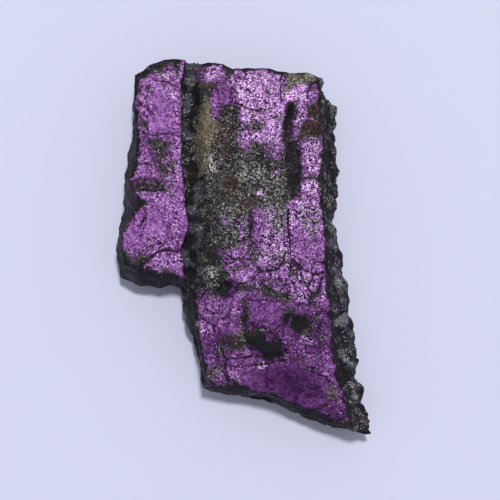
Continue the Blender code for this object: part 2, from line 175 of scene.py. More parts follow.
# Black cracks in the face: half width, then the points that each runs through. The mark fades out beside them.
CRACK_FADE = 0.3
CRACKS = [
    (0.09, [(0.1, 19.0), (0.7, 18.4), (1.3, 18.0)]),
    (0.08, [(-1.7, 17.3), (-0.9, 17.0), (0.2, 16.5), (1.3, 16.2), (2.0, 16.5)]),
    (0.04, [(1.2, 16.1), (2.5, 16.5), (3.2, 16.2)]),
    (0.03, [(1.6, 15.4), (2.0, 15.1), (2.5, 14.8), (3.4, 15.4)]),
    (0.09, [(-1.8, 19.2), (-1.8, 18.2), (-1.7, 17.3)]),
    (0.06, [(4.4, 20.8), (4.2, 18.2), (4.4, 17.4)]),
    (0.07, [(8.9, 20.1), (8.0, 19.6), (7.8, 18.8), (7.5, 17.9)]),
    (0.04, [(7.5, 12.8), (8.1, 12.9), (8.8, 12.3)]),
    (0.09, [(-3.2, -0.7), (-2.5, -1.5), (-1.5, -2.2), (-0.4, -2.0), (0.5, -2.2), (1.2, -2.8), (1.6, -3.4)]),
    (0.09, [(1.5, -3.8), (2.6, -3.5), (3.6, -3.4), (4.1, -2.9), (4.6, -2.2), (4.9, -1.0)]),
    (0.07, [(-2.5, -2.9), (-1.9, -2.7), (-1.3, -2.3)]),
    (0.06, [(0.4, 2.4), (0.5, 1.2), (0.7, 0.0), (1.4, -0.7)]),
    (0.05, [(-1.5, -0.2), (-0.7, 0.2), (0.1, 0.3)]),
    (0.06, [(5.1, 4.2), (5.1, 2.0), (5.3, 0.0), (5.45, -2.5), (6.1, -3.0), (6.2, -4.4), (6.8, -5.3)]),
    (0.06, [(8.0, -2.3), (9.0, -2.5), (9.7, -2.7)]),
    (0.08, [(3.9, -4.3), (4.6, -5.2), (5.6, -5.0), (6.1, -5.6)]),
    (0.08, [(6.3, -3.1), (6.9, -4.6), (7.4, -5.4)]),
    (0.05, [(7.9, -3.1), (8.1, -4.4), (7.6, -5.6), (8.0, -6.4)]),
    (0.06, [(2.0, -4.9), (2.6, -5.8), (3.6, -6.2)]),
    (0.05, [(-2.9, -4.5), (-1.9, -5.4), (-0.7, -6.1)]),
    (0.09, [(5.7, -2.2), (6.4, -3.0), (7.2, -3.5), (8.4, -4.0), (9.4, -3.7)]),
    (0.10, [(10.0, -4.2), (9.2, -4.3), (8.9, -4.9), (8.9, -5.6), (8.5, -6.3)]),
    (0.05, [(3.5, -4.9), (4.0, -5.5), (4.8, -5.4), (5.1, -6.3), (5.0, -7.0)]),
    (0.06, [(7.8, -15.5), (8.8, -16.2), (9.6, -16.3), (10.0, -17.0)]),
    (0.07, [(6.0, -18.9), (5.8, -19.4), (5.9, -20.0)]),
    (0.06, [(7.3, -20.4), (8.6, -20.2), (9.9, -19.7)]),
    (0.04, [(6.2, -18.3), (7.6, -17.9), (9.0, -17.6)]),
    (0.06, [(-2.6, -14.3), (1.9, -13.9), (5.3, -13.1)]),
    (0.05, [(-1.7, -15.3), (2.0, -14.9), (4.7, -14.3)]),
    (0.06, [(-1.7, -4.7), (-0.8, -5.2), (0.7, -4.8), (1.4, -3.9)]),
    (0.06, [(-5.6, -8.9), (-4.8, -9.8), (-4.1, -10.2), (-3.8, -10.9)]),
    (0.08, [(-3.0, -13.1), (-2.4, -14.4), (-2.6, -15.6), (-2.0, -17.2)]),
    (0.07, [(-12.6, 6.4), (-11.4, 6.2), (-10.0, 6.3)]),
    (0.13, [(-12.6, -2.9), (-11.6, -2.0), (-10.8, -1.4), (-10.0, -1.1), (-9.3, -1.0), (-8.6, -1.3), (-7.9, -1.1)]),
    (0.05, [(-12.6, 13.3), (-11.0, 13.1), (-9.6, 13.4), (-8.4, 13.2)]),
    (0.06, [(-13.5, 17.6), (-12.4, 16.5), (-11.6, 15.9)]),
    (0.04, [(-13.4, 16.0), (-12.6, 15.0), (-12.0, 13.6)]),
    (0.05, [(-10.4, 19.9), (-9.3, 19.7), (-8.5, 19.2)]),
    (0.04, [(-13.6, 9.5), (-12.6, 9.7), (-11.6, 9.4)]),
    (0.04, [(-13.0, 1.4), (-12.5, 2.5), (-12.2, 3.4)]),
]

# Marks on the face. An area is the closed outline of a patch in plan, and a spot an ellipse: centre, half length
# and half width, and turn in degrees. The last number is how strong it is: 1 is full, and more keeps edges whole.

# Patches that carry more than one kind of mark
RIGHT_PIT = [(6.3, 13.0), (6.5, 14.2), (7.3, 15.0), (7.5, 16.6), (8.4, 17.0), (9.6, 16.4), (9.7, 13.2),
             (8.0, 13.1)]
SIDE_SPECKLE = [(-11.2, 10.0), (-8.5, 10.2), (-8.3, 6.5), (-9.8, 6.2), (-9.7, 7.6), (-11.0, 8.6)]
SIDE_HOLLOW = [(-15.0, 6.6), (-13.2, 6.4), (-13.2, 5.2), (-14.0, 4.2), (-14.2, 3.2), (-14.9, 2.0), (-15.4, 2.2)]
LOWER_LEFT = [(-5.3, -15.0), (-2.6, -14.8), (-2.4, -16.2), (-3.6, -17.4), (-5.2, -17.3)]
LOWER_RIGHT = [(9.5, -17.4), (11.0, -17.2), (11.4, -19.2), (10.0, -19.4), (9.2, -18.6)]
TIP_EDGE = [(6.6, -21.0), (8.6, -20.9), (10.6, -21.6), (12.4, -21.6), (13.4, -23.4), (6.0, -21.8)]

# Where crust covers the purple, and where the purple shows through again
CRUST_AREAS = [
    ([(-5.8, 20.2), (-4.4, 19.9), (-3.2, 19.6), (-2.8, 20.7), (-2.9, 22.2), (-1.9, 21.7), (-1.9, 19.9),
      (-1.75, 17.2), (-0.95, 16.6), (-0.8, 12.5), (-0.6, 11.8), (1.0, 12.2), (3.0, 11.9), (4.6, 11.5), (5.2, 8.0),
      (5.0, 4.4), (4.4, 3.4), (3.2, 4.3), (2.0, 3.4), (0.5, 4.6), (-0.4, 3.6), (-0.9, 2.2), (-1.0, 0.2),
      (-1.5, -0.8), (-3.3, -1.0), (-2.8, -2.5), (-2.3, -3.8), (-1.9, -5.2), (-3.5, -6.9), (-5.4, -5.9),
      (-6.4, -5.4), (-7.6, -4.6), (-7.4, -1.0), (-7.2, 4.0), (-7.7, 12.0), (-7.7, 22.4), (-5.9, 22.2)], 1.0),
    ([(4.6, 21.5), (6.8, 21.3), (7.5, 21.6), (8.6, 21.1), (9.1, 20.0), (8.0, 19.1), (7.0, 19.5), (5.6, 18.9),
      (4.5, 18.9)], 1.0),
    ([(4.8, 16.2), (5.0, 17.2), (6.1, 17.2), (6.1, 16.4), (5.7, 15.4), (5.5, 14.4), (5.1, 13.2), (4.4, 13.2),
      (4.7, 14.6)], 1.3),
    (RIGHT_PIT, 1.2),
    ([(4.7, 12.9), (5.4, 13.1), (6.7, 13.0), (6.8, 10.0), (6.6, 5.6), (5.4, 5.3), (4.8, 7.0)], 1.0),
    ([(6.6, 7.6), (9.4, 7.7), (9.4, 8.05), (6.8, 8.1)], 1.0),
    ([(-3.6, -5.0), (-1.8, -5.2), (-1.7, -6.4), (-2.4, -7.0), (-3.6, -6.7)], 1.0),
    ([(-0.4, -7.2), (-0.25, -9.0), (-0.9, -9.5), (-0.8, -9.9), (0.0, -10.1), (0.3, -9.2), (0.2, -8.0)], 1.4),
    ([(-3.0, -11.6), (-1.6, -11.2), (0.0, -11.2), (0.2, -12.9), (-1.0, -13.1), (-2.4, -12.8)], 0.96),
    ([(0.1, -10.9), (1.4, -10.4), (2.2, -11.3), (2.5, -12.1), (3.7, -12.2), (4.3, -12.8), (4.3, -14.1),
      (2.2, -14.3), (1.6, -13.7), (1.5, -13.0), (0.2, -12.9), (-0.1, -11.6)], 1.4),
    ([(4.2, -8.1), (6.0, -8.0), (7.0, -8.8), (7.5, -9.9), (8.0, -10.4), (7.6, -11.2), (6.2, -11.2), (5.4, -10.4),
      (4.3, -9.9)], 1.05),
    ([(5.0, -13.9), (6.8, -13.8), (6.9, -14.6), (5.2, -15.1)], 0.8),
    ([(7.1, -6.8), (8.2, -5.7), (9.0, -5.3), (9.0, -6.4), (8.2, -7.3), (7.4, -8.2)], 0.8),
    ([(-12.0, 12.8), (-10.8, 13.2), (-10.0, 12.2), (-8.9, 12.6), (-9.8, 11.2), (-9.7, 10.0), (-11.0, 10.0),
      (-11.7, 11.5)], 0.9),
    (SIDE_SPECKLE, 0.72),
    ([(-14.9, 7.4), (-12.2, 7.3), (-9.8, 7.1), (-9.6, 6.3), (-12.0, 6.2), (-14.9, 6.4)], 1.0),
    (SIDE_HOLLOW, 1.0),
    ([(-15.5, -0.8), (-14.4, -1.4), (-13.8, -2.2), (-12.9, -1.3), (-11.8, -1.7), (-12.1, -3.0), (-12.8, -4.2),
      (-15.5, -4.4)], 1.0),
    (LOWER_LEFT, 0.55),
    ([(-2.8, -16.9), (-1.0, -16.8), (-0.5, -17.8), (-1.0, -18.6), (-3.2, -18.2)], 0.9),
    (LOWER_RIGHT, 0.60),
    (TIP_EDGE, 0.95),
    ([(1.4, -5.0), (3.2, -5.0), (4.6, -6.6), (3.6, -7.3), (1.6, -6.4), (0.2, -5.6)], 0.74),
    ([(7.0, 5.0), (8.9, 4.9), (9.4, 1.0), (8.0, 0.2), (6.6, 2.2)], 0.46),
    ([(-4.0, 5.4), (0.4, 5.4), (0.4, 1.1), (-0.8, -0.8), (-2.9, -1.6), (-3.9, 1.1)], 0.85),
    ([(2.2, 5.0), (5.0, 5.0), (4.9, 0.4), (3.0, 0.2), (2.5, 2.3)], 0.62),
    ([(0.2, 0.9), (2.0, -0.6), (1.2, -2.3), (-0.6, -1.6)], 0.52),
    ([(2.9, -0.6), (5.1, -0.4), (5.2, -3.4), (3.4, -3.6)], 0.46),
    ([(0.9, 15.3), (1.9, 15.0), (1.9, 13.9), (0.6, 13.8)], 0.9),
    ([(-14.0, 20.9), (-11.3, 22.4), (-8.5, 23.0), (-7.5, 22.6), (-7.7, 19.6), (-8.3, 20.0), (-8.8, 21.3),
      (-10.5, 21.4), (-11.7, 21.0), (-12.9, 20.1), (-13.1, 18.4), (-14.0, 18.4)], 0.95),
    ([(-14.2, 14.2), (-13.2, 14.0), (-13.2, 9.6), (-14.0, 8.8), (-14.8, 9.0)], 0.8),
    ([(-0.8, 14.6), (0.4, 14.6), (0.5, 13.4), (-0.8, 13.4)], 0.8),
]
CRUST_SPOTS = [
    (2.0, -1.6, 1.2, 0.3, 20, 0.8), (4.2, -2.4, 0.8, 0.4, -30, 0.75), (0.3, 0.2, 0.35, 1.2, 0, 0.85),
    (3.6, -0.8, 0.5, 0.3, 0, 0.7), (-0.4, -3.0, 1.4, 0.3, -15, 0.6), (2.8, -4.6, 1.3, 0.35, 12, 0.65),
    (7.9, 1.0, 1.5, 0.5, -50, 0.7), (5.6, -3.4, 0.4, 0.9, 10, 0.7), (-11.9, 18.9, 0.45, 0.3, 60, 0.9),
    (-12.7, 19.1, 0.2, 0.15, 0, 1), (-12.3, 14.6, 0.75, 0.4, -30, 0.8), (-13.4, 14.2, 0.4, 1.4, 0, 0.55),
    (-12.9, 16.9, 0.8, 0.3, -50, 0.6), (-12.3, 4.7, 0.6, 0.35, 10, 0.9), (-9.0, 5.4, 0.7, 0.5, 0, 0.5),
    (-10.6, 3.6, 1.1, 0.4, 15, 0.45), (-9.3, 1.7, 0.5, 0.35, 0, 0.7), (-9.2, 0.6, 0.35, 0.3, 0, 0.6),
    (-13.0, 1.4, 0.3, 0.2, 40, 0.9), (-12.5, 2.6, 0.25, 0.2, 0, 0.9), (-11.8, 0.4, 0.3, 0.2, 20, 0.9),
    (-11.5, -0.7, 0.4, 0.2, -20, 0.8), (-11.9, -3.2, 0.5, 0.3, 0, 0.8), (-11.0, -3.7, 0.4, 0.3, 0, 0.9),
    (-9.7, -3.7, 0.3, 0.25, 0, 0.9), (2.7, 18.6, 0.6, 0.5, 0, 0.55), (1.6, 20.6, 1.2, 0.3, 0, 0.5),
    (-0.6, 20.2, 0.5, 0.5, 0, 0.55), (2.6, 17.2, 0.9, 0.3, -20, 0.5), (4.0, 15.6, 0.6, 0.4, 30, 0.55),
    (1.4, 11.5, 1.3, 0.6, 0, 0.9), (4.6, 10.2, 0.7, 1.2, 0, 0.7), (0.7, 2.6, 0.35, 2.0, 0, 0.85),
    (-0.2, -5.7, 1.7, 0.6, -5, 0.7), (4.8, -6.7, 1.3, 0.5, -10, 0.7), (3.9, 1.6, 0.6, 1.3, 10, 0.7),
    (0.4, -0.4, 0.5, 1.3, 0, 0.7), (-1.3, -3.4, 0.9, 0.5, 20, 0.6), (7.2, 3.4, 0.5, 1.2, 15, 0.6),
    (-5.0, -13.2, 0.5, 0.8, 0, 0.35), (-3.4, -13.4, 0.8, 0.5, 30, 0.7), (-2.4, -12.4, 1.5, 0.45, 0, 0.8),
    (7.6, -15.2, 0.6, 0.3, 0, 0.9), (9.2, -12.7, 0.5, 0.2, 0, 0.6), (9.0, -11.6, 1.0, 0.6, 40, 0.5),
    (8.6, -9.6, 0.4, 0.8, 0, 0.5), (6.4, -6.4, 0.4, 0.3, 0, 0.7), (3.5, -18.4, 1.0, 0.3, -15, 0.5),
    (1.0, -18.2, 0.8, 0.3, -10, 0.5),
]
PURPLE_AREAS = [
    ([(-5.6, 22.0), (-3.1, 21.9), (-2.9, 21.0), (-3.9, 20.5), (-4.4, 20.0), (-5.2, 19.8), (-5.6, 20.2)], 0.95),
    ([(-3.2, 19.5), (-1.9, 19.9), (-1.9, 17.4), (-3.0, 16.9), (-3.4, 16.3), (-3.5, 14.8), (-4.3, 14.9),
      (-4.2, 16.2), (-4.5, 17.0), (-4.2, 18.1), (-3.6, 18.7)], 0.95),
    ([(1.9, 4.4), (2.8, 4.4), (3.0, 2.2), (4.2, 0.6), (4.6, -1.6), (2.6, -2.2), (0.9, -0.6), (0.7, 1.4),
      (1.9, 2.0)], 0.65),
]
PURPLE_SPOTS = [
    (-10.2, 13.0, 0.5, 0.3, 0, 0.8), (-9.0, 12.3, 0.35, 0.25, 0, 0.8), (-12.6, 12.8, 0.4, 0.5, 0, 0.9),
    (-8.9, 11.0, 0.7, 0.5, 40, 0.8), (-9.2, 8.8, 0.4, 0.3, 0, 0.5), (-8.6, 7.6, 0.5, 1.2, 0, 0.7),
    (-12.5, 5.7, 0.5, 0.5, 0, 0.9), (-10.5, 5.2, 0.6, 0.9, 0, 0.8), (-12.7, -3.8, 0.4, 0.25, 0, 0.7),
    (-0.6, 1.4, 0.45, 1.1, 12, 0.9), (1.8, 3.4, 0.7, 1.3, 0, 0.7), (-0.4, -0.6, 0.6, 0.6, 0, 0.7),
    (-2.5, 2.4, 0.7, 0.5, -50, 0.8), (-3.3, 1.3, 0.2, 0.2, 0, 0.6), (0.1, 11.0, 0.7, 0.7, 0, 0.6),
    (3.2, 11.0, 1.3, 0.8, 0, 0.65), (0.8, 7.5, 0.25, 0.2, 0, 1), (3.6, 8.5, 0.25, 0.2, 0, 1),
    (1.7, 5.8, 0.5, 0.25, -15, 1), (2.2, 5.2, 0.25, 0.2, 0, 0.9), (-2.7, 4.8, 0.3, 0.25, 0, 0.7),
    (6.6, 15.3, 0.5, 1.3, -8, 0.9), (5.8, 13.4, 0.35, 0.6, -20, 0.9), (7.3, 15.3, 0.15, 0.6, -5, 0.8),
    (7.9, 15.2, 0.3, 0.2, 20, 0.9), (5.5, -9.3, 1.0, 0.25, 65, 0.65), (6.7, -8.9, 0.3, 0.2, 20, 0.7),
]

# Satin purple with hardly a speck on it
CLEAN_AREAS = [
    ([(-2.0, -15.2), (2.0, -15.0), (6.0, -14.4), (8.5, -16.0), (9.2, -17.4), (9.0, -19.6), (5.8, -20.2),
      (1.0, -18.0), (-0.6, -16.4)], 0.8),
    ([(-11.6, 18.4), (-10.4, 18.6), (-9.6, 17.0), (-8.6, 14.6), (-8.6, 13.4), (-11.4, 13.4)], 1.0),
    ([(1.0, -7.6), (3.8, -7.8), (4.0, -9.4), (2.6, -10.2), (0.8, -9.4)], 0.8),
    ([(5.8, 3.6), (8.4, 3.6), (9.4, 0.0), (9.4, -2.4), (6.2, -2.4)], 0.35),
    ([(-14.2, 1.8), (-11.0, 4.0), (-9.6, 2.4), (-11.6, 0.8), (-14.4, -0.6)], 0.9),
    ([(-3.2, 19.5), (-1.9, 19.9), (-1.9, 17.4), (-3.0, 16.9), (-4.2, 18.1)], 0.8),
    ([(5.0, 19.2), (7.0, 19.4), (7.0, 17.6), (5.0, 17.6)], 0.8),
]

# Where the crust is tan, rusty or slate blue
TAN_AREAS = [
    ([(-5.0, 18.1), (-5.8, 16.4), (-6.1, 14.5), (-6.1, 11.5), (-5.7, 8.8), (-4.8, 8.8), (-4.4, 10.3), (-4.1, 12.1),
      (-3.5, 13.3), (-3.6, 14.7), (-4.0, 15.4), (-4.3, 17.0)], 0.9),
    ([(4.6, 21.3), (6.8, 21.0), (7.5, 21.4), (8.5, 21.0), (9.0, 20.0), (8.0, 19.1), (7.0, 19.5), (5.6, 18.9),
      (4.5, 18.9)], 0.55),
    (LOWER_RIGHT, 0.35),
    (LOWER_LEFT, 0.25),
    ([(-4.6, 8.6), (-1.2, 10.6), (2.4, 9.8), (5.0, 9.0), (5.0, 4.6), (0.6, 3.2), (-3.6, 1.0), (-4.8, 4.6)], 0.24),
]
TAN_SPOTS = [
    (-6.05, 13.0, 2.9, 0.22, 90, 1), (-5.5, 9.2, 0.4, 0.8, 0, 0.9), (-5.5, 4.0, 0.35, 1.3, 0, 0.7),
    (-5.0, -2.2, 0.6, 0.25, -60, 1), (-4.1, -3.4, 0.5, 0.35, 0, 0.9), (-5.2, 2.4, 0.4, 0.8, 20, 0.5),
    (-3.4, 6.9, 2.0, 0.4, 60, 0.4), (-0.9, -11.0, 0.5, 0.35, 0, 1), (-0.5, -11.9, 0.4, 0.25, 0, 0.9),
    (7.4, 18.3, 0.3, 1.2, 0, 0.7), (8.8, 18.0, 0.3, 0.9, 0, 0.7), (6.9, -3.0, 0.95, 0.2, -25, 0.9),
    (-12.3, 14.6, 0.7, 0.4, -30, 0.4), (-10.6, 11.4, 1.0, 1.6, 10, 0.3),
]
RUST_AREAS = [
    ([(-4.0, 15.0), (-2.0, 15.0), (-1.4, 12.0), (-2.2, 10.4), (-3.6, 12.0)], 0.75),
    (RIGHT_PIT, 0.8),
    ([(-3.6, 7.9), (-2.0, 8.4), (-0.8, 7.8), (-1.1, 6.2), (-2.4, 5.6), (-3.5, 6.6)], 0.65),
    (TIP_EDGE, 0.6),
]
RUST_SPOTS = [
    (-5.95, 12.4, 3.2, 0.16, 90, 0.6), (-4.6, 19.2, 0.9, 0.5, 10, 0.7), (-7.0, 20.0, 0.5, 0.5, 0, 0.7),
    (0.2, 4.9, 0.9, 0.8, 0, 0.9), (-6.5, 8.4, 0.8, 0.35, -5, 1), (-6.3, 5.5, 0.6, 0.5, 0, 0.6),
    (5.8, 11.5, 0.6, 0.8, 0, 0.5), (3.4, 6.0, 1.2, 1.8, 0, 0.35), (1.5, 11.4, 0.9, 0.4, 0, 0.5),
    (0.9, -10.9, 0.7, 0.5, 0, 0.7), (-1.6, -12.0, 1.3, 0.6, -20, 0.6), (9.4, -4.4, 0.7, 0.3, 0, 0.9),
    (8.6, -5.0, 0.5, 0.7, 0, 0.6), (-13.4, 6.9, 1.5, 0.4, 0, 0.7), (-4.8, 1.4, 1.4, 2.6, 0, 0.35),
    (-1.2, 4.6, 1.8, 0.7, -30, 0.45),
]
SLATE_AREAS = [
    (SIDE_HOLLOW, 0.75),
    ([(-4.4, 8.2), (-2.6, 8.4), (-2.4, 6.6), (-4.6, 6.2)], 0.6),
]
SLATE_SPOTS = [
    (-6.0, 2.4, 0.6, 0.5, 60, 0.6), (-6.4, 1.2, 0.6, 0.5, 100, 0.6), (-6.2, -0.5, 0.7, 0.5, 10, 0.7),
    (-6.5, -2.7, 0.6, 0.45, 150, 0.7), (-6.8, 21.5, 0.8, 0.6, 20, 0.6), (-6.9, 20.6, 0.9, 1.2, 0, 0.7),
    (-5.0, 18.4, 0.8, 0.8, 0, 0.4), (-4.2, 12.2, 0.7, 0.6, 0, 0.5), (-5.6, -4.4, 0.8, 0.6, 0, 0.6),
]

# Where small bright crystals sparkle, and how much they do elsewhere. These marks set how many painted glints
# there are, and how pale and busy the crust's grains are
EVEN_SPARK = 0.16
SPARK_AREAS = [
    ([(-5.0, 11.0), (-3.6, 11.0), (-3.4, 8.4), (-4.9, 8.4)], 0.85),
    ([(-1.4, 9.8), (2.4, 9.6), (2.6, 7.0), (-1.0, 7.2)], 0.44),
    ([(1.8, 9.2), (5.2, 9.2), (4.8, 3.8), (1.8, 4.2)], 0.37),
    ([(-3.6, 5.2), (1.4, 4.4), (0.6, -1.4), (-3.2, -1.2)], 0.33),
    ([(2.4, 4.6), (5.0, 4.6), (5.0, -3.4), (1.0, -2.8)], 0.52),
    ([(5.4, 5.2), (9.2, 5.2), (9.2, 0.6), (7.4, 0.2), (5.6, 2.4)], 0.54),
    ([(-4.9, 16.8), (-3.4, 15.2), (-2.6, 12.6), (-4.4, 11.0), (-5.0, 13.0)], 0.34),
    ([(4.6, 21.3), (7.2, 21.3), (7.2, 19.5), (5.2, 19.0)], 0.60),
    ([(-5.2, -3.2), (-3.6, -3.2), (-3.2, -5.8), (-5.0, -5.6)], 0.62),
    ([(7.2, 21.1), (8.7, 20.9), (8.6, 20.0), (7.4, 19.9)], 1.0),
    (SIDE_SPECKLE, 0.35),
    (LOWER_LEFT, 0.22),
]
SPARK_SPOTS = [
    (-10.1, 20.8, 1.3, 0.4, -15, 0.9), (-9.4, 18.6, 0.5, 0.8, 0, 0.6), (-8.6, 17.9, 0.4, 0.5, 0, 0.8),
    (-8.4, 15.7, 0.9, 0.15, -70, 1), (-8.4, 12.6, 0.2, 0.2, 0, 1), (-8.3, 11.2, 0.25, 0.4, 0, 1),
    (-8.4, 8.6, 0.3, 1.3, 0, 0.7), (-9.5, 5.3, 0.2, 0.2, 0, 1), (-8.4, -2.0, 0.5, 0.3, -35, 0.7),
    (-8.5, -3.6, 0.3, 0.2, 0, 0.8), (-7.0, 20.8, 0.5, 0.25, 10, 0.8), (-6.9, 17.8, 0.8, 2.4, 0, 0.5),
    (-7.1, 15.3, 0.35, 0.35, 0, 0.6), (-7.0, 12.9, 0.3, 0.3, 0, 0.7), (-6.3, 4.5, 0.3, 0.3, 0, 0.9),
    (-3.9, 20.4, 0.7, 0.2, 15, 0.5), (-3.0, 12.0, 0.5, 0.4, 0, 0.6), (-5.2, 15.0, 0.5, 1.0, 0, 0.3),
    (3.4, 12.7, 0.9, 0.7, 0, 0.5), (5.0, 18.6, 0.8, 0.8, 0, 0.4), (6.6, 15.4, 0.4, 1.2, 0, 0.7),
    (8.4, 10.8, 1.2, 2.6, 0, 0.55), (8.3, 6.8, 1.2, 1.2, 0, 0.5), (4.2, -0.3, 0.7, 0.5, 0, 0.55),
    (-2.3, 1.9, 0.3, 0.3, 0, 0.9), (6.6, -4.3, 0.6, 0.5, 0, 0.6), (6.6, -6.6, 0.9, 0.6, -40, 0.6),
    (9.5, -6.5, 0.25, 0.9, -20, 0.9), (3.9, -7.7, 0.7, 0.15, -40, 0.7), (1.8, -15.0, 0.6, 0.35, 0, 0.8),
    (-5.8, -10.2, 0.25, 0.3, 0, 0.9), (-5.3, -10.8, 0.3, 0.3, 0, 0.9), (7.6, -12.1, 1.0, 0.3, -25, 0.8),
    (9.0, -11.4, 0.6, 0.8, 0, 0.25), (2.4, -10.9, 0.7, 0.2, 10, 0.6), (-2.6, -6.2, 0.9, 0.6, 0, 0.35),
]

# Where the crust is blackest
DARK_SPOTS = [
    (0.7, 2.6, 0.4, 2.0, 0, 0.35), (-2.4, 7.0, 1.2, 1.1, 0, 0.15), (8.0, 14.4, 1.4, 1.2, 0, 0.16),
    (-0.3, -8.8, 0.5, 1.3, 0, 0.3), (-2.2, -11.9, 1.6, 0.8, -20, 0.2), (2.4, -12.9, 2.1, 1.3, -32, 0.7),
    (5.9, -9.8, 1.5, 1.3, 0, 0.45), (5.3, 15.2, 0.5, 1.9, 0, 0.4), (-6.9, -1.0, 0.8, 4.5, 0, 0.32),
    (-6.9, 9.0, 0.8, 4.0, 0, 0.12), (-7.3, 14.6, 0.6, 2.4, 0, 0.15), (-2.4, -5.9, 1.3, 1.1, 0, 0.4),
    (-4.6, -1.6, 1.3, 1.5, 0, 0.25), (2.0, -18.8, 5.0, 0.5, -14, 0.2), (5.8, 9.2, 1.1, 3.8, 0, 0.25),
]

# Milky quartz in the flanks, seen from above
QUARTZ_SPOTS = [
    (10.7, 0.6, 0.5, 1.3, 0, 0.55), (11.1, -3.0, 0.4, 0.35, 0, 0.9), (11.4, -4.3, 0.6, 0.6, 0, 1.1),
    (11.6, -9.6, 1.0, 0.8, 30, 0.85), (12.3, -8.9, 0.7, 0.6, 20, 1.2), (12.2, -14.2, 0.6, 0.4, 0, 0.7),
    (13.3, -18.6, 0.6, 0.5, 0, 0.65), (13.7, -22.4, 1.0, 0.35, 15, 0.5), (9.6, 20.6, 0.5, 0.5, 0, 0.9),
]

# How pale the purple is: 0 is deep violet, 0.5 is the even purple and 1 is lilac. It is partly the purple's own
# tone and partly painted light: the palest places stand for painted sheen on the flat flakes, and the deep areas
# over the lower part for painted shade where the face falls away from the light
EVEN_PALE = 0.50
PALE_AREAS = [
    ([(-1.8, 21.3), (4.4, 21.2), (4.2, 17.4), (4.6, 12.2), (2.6, 12.0), (-0.9, 13.0), (-0.9, 17.2)], 0.22),
    ([(4.4, 19.4), (7.3, 19.6), (7.2, 17.2), (4.6, 17.2)], 0.34),
    ([(7.2, 12.9), (9.4, 12.7), (9.3, 8.1), (7.2, 8.1)], 0.02),
    ([(-11.0, 19.5), (-9.7, 19.3), (-9.4, 17.0), (-8.4, 15.0), (-8.3, 14.0), (-11.2, 14.0)], 0.06),
    ([(-5.6, 22.0), (-3.1, 21.9), (-2.9, 21.0), (-4.4, 20.0), (-5.6, 20.0)], 0.15),
]
PALE_SPOTS = [
    (3.6, 13.0, 0.9, 1.0, 0, 0.25), (4.2, 19.8, 0.4, 0.4, 0, 0.25), (1.8, 18.3, 0.4, 0.3, 0, 0.25),
    (-12.5, 1.7, 1.3, 0.9, 20, 0.03), (7.8, -4.3, 0.7, 1.4, -15, 0.1), (2.7, -8.9, 1.1, 1.0, 0, 0.04),
    (1.6, 5.8, 0.6, 0.4, 0, 0.5), (7.8, 6.8, 1.2, 1.1, 0, 0.15),
]
# Deeper violet: over the lower part of the face this is partly painted shade, as the face falls away from the
# light there
DEEP_AREAS = [
    ([(0.4, -16.4), (6.0, -15.2), (9.6, -16.4), (10.6, -21.0), (6.4, -20.4), (1.0, -18.9), (-1.0, -18.2)], 0.36),
    ([(-6.5, -6.0), (-2.0, -7.0), (4.5, -5.0), (9.0, -8.0), (11.5, -17.0), (-2.0, -15.6), (-5.6, -17.4)], 0.19),
]
DEEP_SPOTS = [
    (2.6, -0.4, 2.2, 2.6, 0, 0.18), (5.2, -16.9, 4.6, 2.4, -10, 0.46), (-3.2, 17.2, 1.0, 2.4, 0, 0.14),
    (1.4, -5.6, 1.6, 0.8, 0, 0.12), (6.2, -12.0, 1.6, 2.0, 0, 0.28), (8.8, -11.2, 1.7, 3.6, 0, 0.42),
    (-3.4, -13.0, 2.6, 2.6, 0, 0.33), (9.5, -20.6, 3.0, 1.4, -12, 0.42), (-10.6, 11.8, 1.8, 1.6, 0, 0.1),
    (7.4, -0.6, 1.9, 2.6, 0, 0.05), (7.8, 3.6, 1.4, 1.8, 0, 0.08),
]


def tint(name, description, default):
    """A colour that the user can change."""
    return bpy.props.FloatVectorProperty(name=name, description=description, default=default, min=0.0, max=1.0,
                                         subtype="COLOR")


class SpecimenStone(bpy.types.PropertyGroup):
    """Sizes and colours of the stone itself."""

    spacing: bpy.props.FloatProperty(
        name="Spacing", description="Distance between neighbouring points of the drawn surface",
        default=0.17 * MM, min=0.1 * MM, max=1.0 * MM, unit="LENGTH", precision=5)
    flank_rows: bpy.props.IntProperty(
        name="Flank rows", description="Rows of faces between the rim and the foot", default=54, min=10, max=80)
    relief: bpy.props.FloatProperty(
        name="Fine relief", description="Height of the finest plates and lumps against the real ones",
        default=1.0, min=0.0, max=2.0, subtype="FACTOR")
    deep: tint("Deep violet", "Colour of the darkest purple", (0.034, 0.0055, 0.050))
    violet: tint("Violet", "Colour of the even purple", (0.165, 0.049, 0.210))
    lilac: tint("Lilac", "Colour of the palest purple", (0.45, 0.225, 0.53))
    crust: tint("Crust", "Colour of the black manganese crust", (0.010, 0.010, 0.013))
    olive: tint("Olive", "Colour of the lighter grains in the crust", (0.105, 0.098, 0.092))
    ash: tint("Ash", "Colour of the palest grains in the crust", (0.30, 0.31, 0.30))
    tan: tint("Tan", "Colour of the clay-stained crust", (0.225, 0.188, 0.118))
    rust: tint("Rust", "Colour of the iron-stained crust", (0.085, 0.042, 0.028))
    slate: tint("Slate", "Colour of the blue-grey crust", (0.100, 0.104, 0.126))
    quartz: tint("Quartz", "Colour of the milky quartz in the flank", (0.28, 0.28, 0.31))
    # Shine is painted highlight: the colour of the palest purple specks at the top of its ramp and of the painted
    # glints on the purple
    shine: tint("Shine", "Colour of the brightest flakes in the purple", (0.86, 0.60, 0.93))
    # Spark is partly the crust's own palest grains and partly painted highlight: the colour of the painted glints
    # on the crust
    spark: tint("Spark", "Colour of the small bright crystals", (0.80, 0.80, 0.80))


